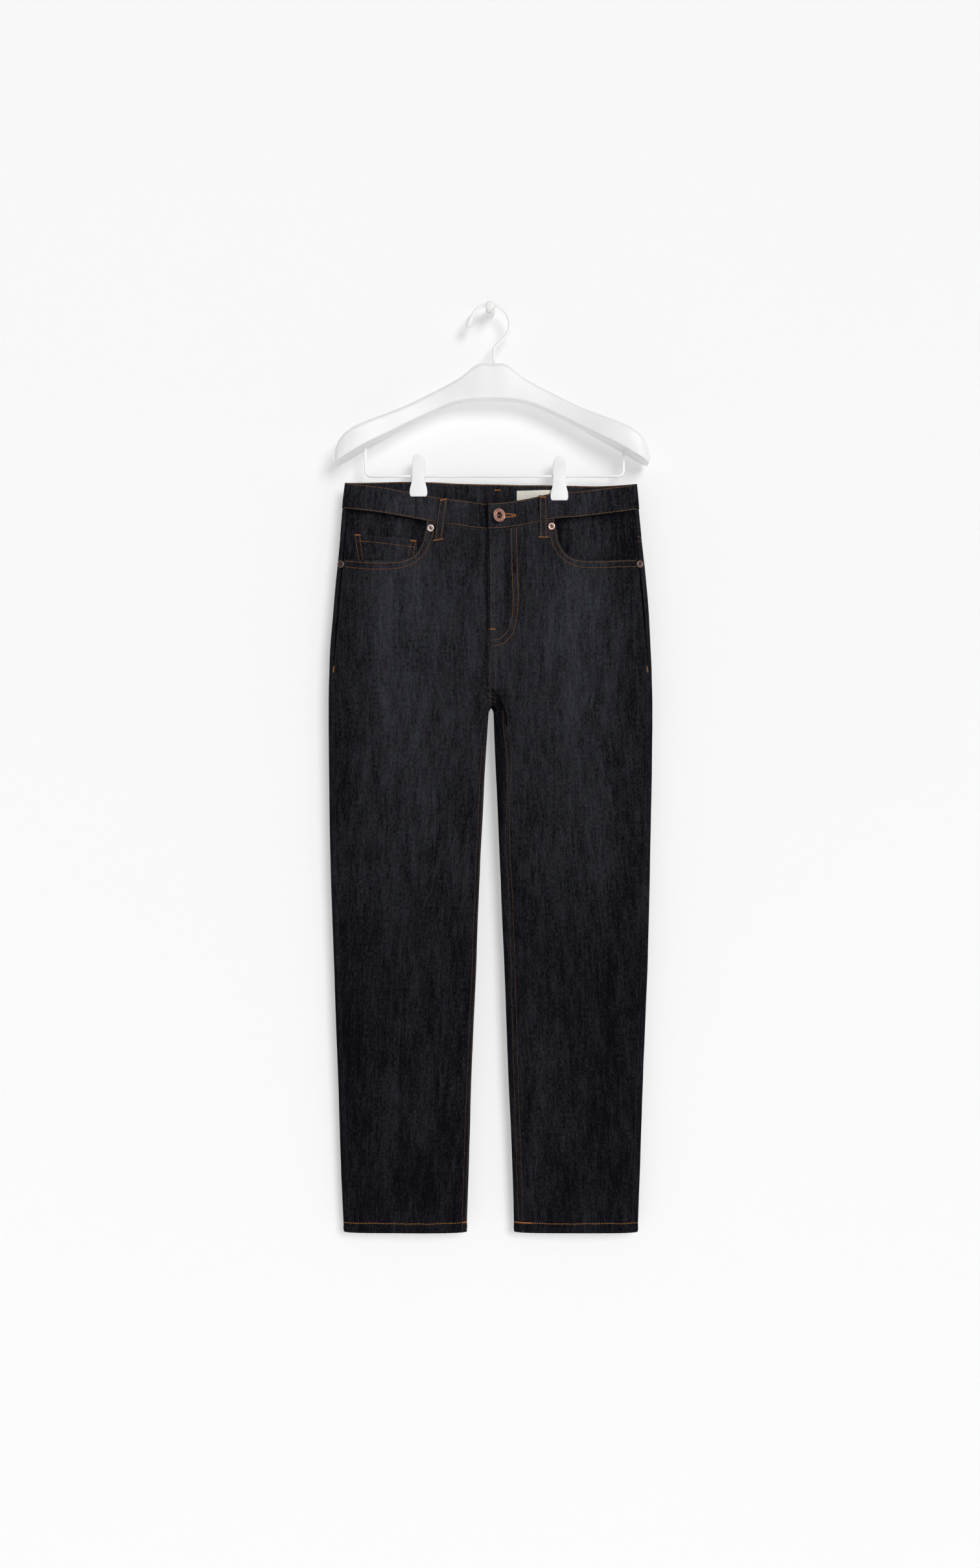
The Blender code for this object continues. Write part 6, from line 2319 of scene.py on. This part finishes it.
@dataclass
class Rivet:
    """A domed rivet: a flat ring round a raised nipple."""

    place: RivetPlace
    form: JeansForm
    finishes: Finishes
    radius: float = 5.5

    def build(self) -> Piece:
        """Makes the rivet."""
        r = self.radius
        # The third values are painted shade: dark in the centre, in the ring's groove and underneath.
        profile = [
            Turn(0, 1, 1), Turn(0.14 * r, 1, 1), Turn(0.20 * r, 1.9, 0.4), Turn(0.27 * r, 2.1, 0),
            Turn(0.34 * r, 1.4, 1), Turn(0.46 * r, 1.4, 0.9), Turn(0.56 * r, 1.7, 0), Turn(0.76 * r, 1.75, 0),
            Turn(0.90 * r, 1.4, 0), Turn(r, 0.7, 0.2), Turn(r, 0, 0.8), Turn(0, 0, 0.8),
        ]
        side = Side.LEFT if self.place.x > 0 else Side.RIGHT
        half = self.form.halves[side]
        along = half.along(self.place.x, self.place.z, Face.FRONT)
        point, normal = half.at(np.array(self.place.z), along)
        matrix = aimed(point + normal * self.place.level, normal)
        finish = getattr(self.finishes, self.place.finish)
        piece = turned_mesh(self.place.name, rounded(profile, 0.08), 44, finish, matrix)
        return settle(piece, [self.place.name])


# Hanger and peg

HANGER_X, HANGER_Y = 2.4, -30


class Arm(NamedTuple):
    """The hanger's body at a distance from its middle."""

    reach: float
    top: float
    bottom: float
    depth: float


ARMS = table_of(
    Arm,
    (0, -82, -132.7, 27), (20, -82.5, -133, 27), (29, -88, -133.5, 26), (41, -98, -135, 25),
    (58, -108.5, -139, 24), (73, -116.5, -145, 23), (92, -126, -153.5, 23), (120, -140.5, -167.5, 28),
    (150, -154, -183.5, 39), (180, -166.5, -199, 50), (204, -178.5, -213, 53), (216, -188.5, -220, 50),
    (223.5, -199, -224.5, 42), (227.5, -209, -225.5, 30), (229, -215, -222.5, 16),
)


@dataclass
class HangerBody:
    """The moulded body, lofted along its arms: soft above, with a crisp lower front edge."""

    finishes: Finishes
    top_round: float = 7
    bottom_round: float = 1.8
    corner_steps: int = 7

    def section(self, top: float, bottom: float, depth: float) -> Array:
        """Corners of one section as depth and height."""
        half, height = depth / 2, top - bottom
        over = min(self.top_round, half * 0.9, height * 0.45)
        low = min(self.bottom_round, half * 0.5, height * 0.3)
        return corner_arcs((
            (-half + over, top - over, over, 180), (half - over, top - over, over, 90),
            (half - low, bottom + low, low, 0), (-half + low, bottom + low, low, -90),
        ), self.corner_steps)

    def build(self) -> Piece:
        """Makes the body."""
        top, bottom, depth = (column(ARMS, "reach", name) for name in ("top", "bottom", "depth"))
        out = np.concatenate([np.arange(0, 200, 4), np.arange(200, 226, 1.5), [227, 228, 228.7, 229]])
        reaches = np.concatenate([-out[::-1], out[1:]])
        rings = []
        for reach in reaches:
            r = abs(float(reach))
            section = self.section(float(top(r)), float(bottom(r)), float(depth(r)))
            x = np.full(len(section), HANGER_X + reach)
            rings.append(np.stack([x, HANGER_Y + section[:, 0], section[:, 1]], -1))
        piece = lofted("hanger_body", rings, self.finishes.plastic, flip=True)
        return settle(piece, ["hanger_body"])


def wire_mesh(name: str, path: Array, radius: float, material: Material) -> Piece:
    """A round wire along a path in the hanger's plane, with rounded ends.

    Args:
        name: The piece's name.
        path: Points in millimetres.
        radius: The wire's radius.
        material: The finish.

    Returns:
        The piece.
    """
    steps = 18
    ahead = np.gradient(path, axis=0)
    ahead /= np.linalg.norm(ahead, axis=1, keepdims=True)
    deep = np.array([0, 1, 0])
    aside = np.cross(ahead, deep)
    ends = ((-0.9, 0.30), (-0.6, 0.75), (-0.2, 0.97))
    centres = [path[0] + ahead[0] * radius * (t + 0.9) for t, _ in ends]
    radii = [radius * share for _, share in ends]
    sides = [aside[0]] * len(ends)
    for p, s in zip(path[2:-2], aside[2:-2]):
        centres.append(p)
        radii.append(radius)
        sides.append(s)
    for t, share in reversed(ends):
        centres.append(path[-1] - ahead[-1] * radius * (t + 0.9))
        radii.append(radius * share)
        sides.append(aside[-1])
    angles = 2 * math.pi * np.arange(steps) / steps
    rings = [
        c + r * (np.cos(angles)[:, None] * s + np.sin(angles)[:, None] * deep)
        for c, r, s in zip(centres, radii, sides)
    ]
    return lofted(name, rings, material)


def bend(before: Vector, corner: Vector, after: Vector, radius: float, steps: int = 14) -> list[Vector]:
    """Points of an arc that rounds a corner between two straight runs."""
    back, on = (before - corner).normalized(), (after - corner).normalized()
    half = back.angle(on) / 2
    centre = corner + (back + on).normalized() * radius / math.sin(half)
    start = corner + back * radius / math.tan(half) - centre
    end = corner + on * radius / math.tan(half) - centre
    turn = start.rotation_difference(end)
    return [centre + Quaternion().slerp(turn, n / steps) @ start for n in range(steps + 1)]


@dataclass
class HangerWires:
    """The hook with the cap on its tip, and the bar that carries the clips."""

    finishes: Finishes
    hook_wire: float = 2.45
    groove_radius: float = 3
    hook_radius: float = 28.5
    tip_angle: float = 158
    foot_angle: float = -40
    shank_x: float = 5.6
    shank_bend_z: float = -58
    shank_bend_radius: float = 9
    shank_end_z: float = -98
    tip_radius: float = 4.6
    tip_length: float = 17
    bar_wire: float = 1.95
    bar_z: float = -243.5
    bar_ends: Point = (-180.5, 193.6)
    bar_corner: float = 8
    bar_buried: float = 6

    def hook(self) -> list[Piece]:
        """Makes the hook and its cap."""
        centre_z = self.groove_radius + SEAM_GAP + self.hook_wire - self.hook_radius
        turns = np.radians(np.linspace(self.tip_angle, self.foot_angle, 60))
        arc = [
            Vector((self.hook_radius * math.cos(t), HANGER_Y, centre_z + self.hook_radius * math.sin(t)))
            for t in turns
        ]
        lead = math.radians(self.tip_angle)
        down = Vector((-math.sin(lead), 0, math.cos(lead)))
        corner = Vector((self.shank_x, HANGER_Y, self.shank_bend_z))
        end = Vector((self.shank_x, HANGER_Y, self.shank_end_z))
        path = [arc[0] + down * 7, arc[0] + down * 4, *arc]
        path += bend(arc[-1], corner, end, self.shank_bend_radius)
        path += [corner + (end - corner) * 0.7, end]
        hook = wire_mesh("hanger_hook", np.array(path), self.hook_wire, self.finishes.wire)
        settle(hook, ["hanger_hook"])
        r, back = self.tip_radius, -(self.tip_length - self.tip_radius)
        dome = [math.radians(a) for a in range(0, 91, 10)]
        profile = [Turn(r * math.sin(a), r * math.cos(a)) for a in dome]
        profile += [Turn(r, back * 0.62), Turn(r * 0.94, back * 0.85), Turn(r * 0.78, back)]
        profile += [Turn(self.hook_wire + 0.05, back - 0.2), Turn(0, back - 0.2)]
        place = aimed(arc[0] - down * back, down)
        cap = turned_mesh("hook_tip", profile, 32, self.finishes.plastic, place)
        return [hook, settle(cap, ["hook_tip"])]

    def bar(self) -> Piece:
        """Makes the bar with its two uprights."""
        entry = column(ARMS, "reach", "bottom")
        tops = [
            Vector((x, HANGER_Y, float(entry(abs(x - HANGER_X))) + self.bar_buried)) for x in self.bar_ends
        ]
        corners = [Vector((x, HANGER_Y, self.bar_z)) for x in self.bar_ends]
        left = bend(tops[0], corners[0], corners[1], self.bar_corner)
        right = bend(corners[0], corners[1], tops[1], self.bar_corner)
        between = [left[-1].lerp(right[0], n / 12) for n in range(1, 12)]
        ups = [tops[0].lerp(left[0], n / 4) for n in range(4)]
        downs = [right[-1].lerp(tops[1], (n + 1) / 4) for n in range(4)]
        path = np.array([*ups, *left, *between, *right, *downs])
        bar = wire_mesh("hanger_bar", path, self.bar_wire, self.finishes.wire)
        return settle(bar, ["hanger_bar"])


class JawRow(NamedTuple):
    """Half width of a jaw at a height above its foot, and its inner and outer face there."""

    above: float
    half: float
    inner: float
    outer: float


@dataclass
class TrouserClip:
    """One jaw of a clip: a round top, a slight waist and a wider foot that grips the band."""

    place: ClipPlace
    face: Face
    finishes: Finishes
    top_half: float = 9
    wall: float = 3.2
    touch: float = 3.45
    at_bar: float = 2.25
    splay: float = 7
    bar_z: float = -243.5
    edge_round: float = 1.1

    def rows(self) -> list[JawRow]:
        """Sections of the jaw from its foot to its round top."""
        top, foot = self.place.top, self.place.bottom
        height = top - foot
        bar = self.bar_z - foot
        half = curve_through(
            [0, 3, 8, 22, 38, height - self.top_half], [11.2, 12.6, 12.8, 9.8, 9.3, self.top_half]
        )
        inner = curve_through(
            [0, bar - 7, bar - 3.5, bar + 3, bar + 10, height],
            [self.touch, self.touch, self.at_bar, self.at_bar, self.at_bar + 1.4, self.splay],
        )
        outer = curve_through(
            [0, 12, bar, height],
            [self.touch + self.wall, self.touch + self.wall, self.at_bar + self.wall + 0.8,
             self.splay + self.wall],
        )
        heights = [0, 0.4, 1.4, 3, 5, 8, 11, 14, 18, 22, 26, 30, 34, 38, 42, 46]
        heights = [h for h in heights if h < height - self.top_half - 1]
        rows = [JawRow(h, float(half(h)), float(inner(h)), float(outer(h))) for h in heights]
        for angle in range(0, 88, 7):
            turn = math.radians(angle)
            h = height - self.top_half + self.top_half * math.sin(turn)
            rows.append(JawRow(h, self.top_half * math.cos(turn), float(inner(h)), float(outer(h))))
        first = rows[0]
        rows[0] = first._replace(half=first.half - 0.9, inner=first.inner + 0.5, outer=first.outer - 0.9)
        return rows

    def build(self) -> Piece:
        """Makes the jaw."""
        towards = -1 if self.face is Face.FRONT else 1
        rings = []
        for row in self.rows():
            r = min(self.edge_round, row.half * 0.8, (row.outer - row.inner) * 0.45)
            x, y = corner_arcs((
                (-row.half + r, row.outer - r, r, 180), (row.half - r, row.outer - r, r, 90),
                (row.half - r, row.inner + r, r, 0), (-row.half + r, row.inner + r, r, -90),
            ), 4).T
            z = np.full(len(x), self.place.bottom + row.above)
            rings.append(np.stack([self.place.x + x, HANGER_Y + towards * y, z], -1))
        name = f"clip_{self.place.side.word}_{self.face.value}"
        piece = lofted(name, rings, self.finishes.plastic, flip=self.face is Face.FRONT)
        return settle(piece, [name])


@dataclass
class WallPeg:
    """The turned wall peg: a pin with a groove for the hook and a domed knob."""

    finishes: Finishes
    radius: float = 6.8
    length: float = 49
    groove_radius: float = 3
    groove: Point = (26.6, 33.4)
    dome: float = 1.6

    def build(self) -> Piece:
        """Makes the peg."""
        r, g, end = self.radius, self.groove_radius, self.length
        near, far = self.groove
        profile = [
            Turn(0, end), Turn(r * 0.3, end - self.dome * 0.06), Turn(r * 0.6, end - self.dome * 0.3),
            Turn(r * 0.85, end - self.dome * 0.7), Turn(r * 0.97, end - self.dome - 0.2),
            Turn(r, end - self.dome - 1.2), Turn(r, far + 1.2), Turn(r - 0.8, far + 0.1), Turn(g, far - 0.2),
            Turn(g, near + 0.2), Turn(r - 0.8, near - 0.1), Turn(r, near - 1.2), Turn(r, 0.4),
            Turn(r, 0), Turn(0, 0),
        ]
        place = aimed((0, 0, 0), (0, -1, 0))
        piece = turned_mesh("wall_peg", rounded(profile, 0.1), 64, self.finishes.peg, place)
        return settle(piece, ["wall_peg"])


# Studio


@dataclass
class Studio:
    """The pale wall and floor, the soft lights and the camera."""

    eye: tuple[float, float, float] = (0, -2.63, -0.690)
    lens: float = 41.14
    wall_y: float = 0.0004
    floor_z: float = -2.3
    paper: Colour = (0.575, 0.575, 0.575)
    glow: float = 0.335

    def camera(self) -> None:
        """Sets the camera square to the wall."""
        data = bpy.data.cameras.new("camera")
        data.lens, data.sensor_width, data.sensor_fit = self.lens, 36, "AUTO"
        data.clip_start, data.clip_end = 0.05, 60
        camera = linked("camera", data)
        camera.location = self.eye
        camera.rotation_euler = (math.radians(90), 0, 0)
        bpy.context.scene.camera = camera

    def paper_material(self) -> Material:
        """A matt backdrop that shows only from its front, and stops no light."""
        material = bpy.data.materials.new("backdrop_paper")
        material.use_nodes = True
        w = Wiring(material.node_tree)
        shader = material.node_tree.nodes["Principled BSDF"]
        place = w.add("TexCoord").outputs["Object"]
        colour = w.mix(w.noise(place, 1.6, 2), rgba(self.paper), rgba(tuple(0.985 * c for c in self.paper)))
        w.feed(shader, Base_Color=colour, Roughness=0.95, Specular_IOR_Level=0)
        w.feed(shader, Emission_Color=(1, 1, 1, 1), Emission_Strength=self.glow)
        clear = w.add("BsdfTransparent")
        shadow = w.add("LightPath").outputs["Is Shadow Ray"]
        behind = w.add("NewGeometry").outputs["Backfacing"]
        shown = w.math("MULTIPLY", w.math("SUBTRACT", 1, shadow), w.math("SUBTRACT", 1, behind))
        mix = w.add("MixShader")
        w.tree.links.new(shown, mix.inputs[0])
        w.tree.links.new(clear.outputs[0], mix.inputs[1])
        w.tree.links.new(shader.outputs[0], mix.inputs[2])
        w.tree.links.new(mix.outputs[0], material.node_tree.nodes["Material Output"].inputs["Surface"])
        return material

    def backdrop(self) -> None:
        """Makes the wall behind the peg and the floor below."""
        paper = self.paper_material()
        wide, high, deep = 9, 6, 9
        planes = {
            "studio_wall": [(-wide, self.wall_y, self.floor_z), (wide, self.wall_y, self.floor_z),
                            (wide, self.wall_y, high), (-wide, self.wall_y, high)],
            "studio_floor": [(-wide, -deep, self.floor_z), (wide, -deep, self.floor_z),
                             (wide, deep, self.floor_z), (-wide, deep, self.floor_z)],
        }
        for name, corners in planes.items():
            mesh = bpy.data.meshes.new(name)
            mesh.from_pydata(corners, [], [[0, 1, 2, 3]])
            mesh.materials.append(paper)
            linked(name, mesh)

    def sun(self, name: str, towards: Sequence[float], angle: float, strength: float) -> None:
        """A broad even light from a direction, as from a large lamp far off."""
        data = bpy.data.lights.new(name, "SUN")
        data.angle, data.energy = math.radians(angle), strength
        lamp = linked(name, data)
        lamp.rotation_mode = "QUATERNION"
        lamp.rotation_quaternion = (-Vector(towards)).to_track_quat("-Z", "Y")

    def world(self, strength: float, seen: float) -> None:
        """An even surrounding light, paler where the camera sees it."""
        world = bpy.data.worlds.new("studio_air")
        world.use_nodes = True
        w = Wiring(world.node_tree)
        camera_ray = w.add("LightPath").outputs["Is Camera Ray"]
        level = w.math("MULTIPLY_ADD", camera_ray, seen - strength, strength)
        w.feed(world.node_tree.nodes["Background"], Color=(1, 1, 1, 1), Strength=level)
        bpy.context.scene.world = world

    def build(self) -> None:
        """Makes the whole studio."""
        self.camera()
        self.backdrop()
        self.sun("key_light", (0.40, -1, 0.36), 26, 2.02)
        self.sun("fill_light", (-0.10, -1, -0.80), 90, 0.66)
        self.sun("back_light", (-0.5, 1, 0.5), 40, 1.3)
        self.world(0.24, 0.86)
        bpy.context.scene.view_settings.view_transform = "Standard"


def main() -> None:
    """Builds the studio, the garment, its sewing and what it hangs from."""
    logging.basicConfig(level=logging.INFO, format="%(message)s")
    Studio().build()
    finishes = Finishes()
    form = JeansForm()
    for side in Side:
        FrontPanel(side, form, finishes).build()
        BackPanels(side, form, finishes).build()
        PocketFacing(side, form, finishes).build()
        BackPocket(side, form, finishes).build()
    CrotchTongue(form, finishes).build()
    SeamAllowance(Face.FRONT, form, finishes).build()
    SeamAllowance(Face.BACK, form, finishes, top_z=-293).build()
    Waistband(form, finishes).build()
    CoinPocket(form, finishes).build()
    for place in LOOPS:
        BeltLoop(place, form, finishes).build()
    WaistLabel(form, finishes).build()
    Sewing(form, finishes).build()
    WaistButton(form, finishes).build()
    for rivet in RIVETS:
        Rivet(rivet, form, finishes).build()
    HangerBody(finishes).build()
    wires = HangerWires(finishes)
    wires.hook()
    wires.bar()
    for clip in CLIPS:
        for face in Face:
            TrouserClip(clip, face, finishes).build()
    WallPeg(finishes).build()


if __name__ == "__main__":
    main()
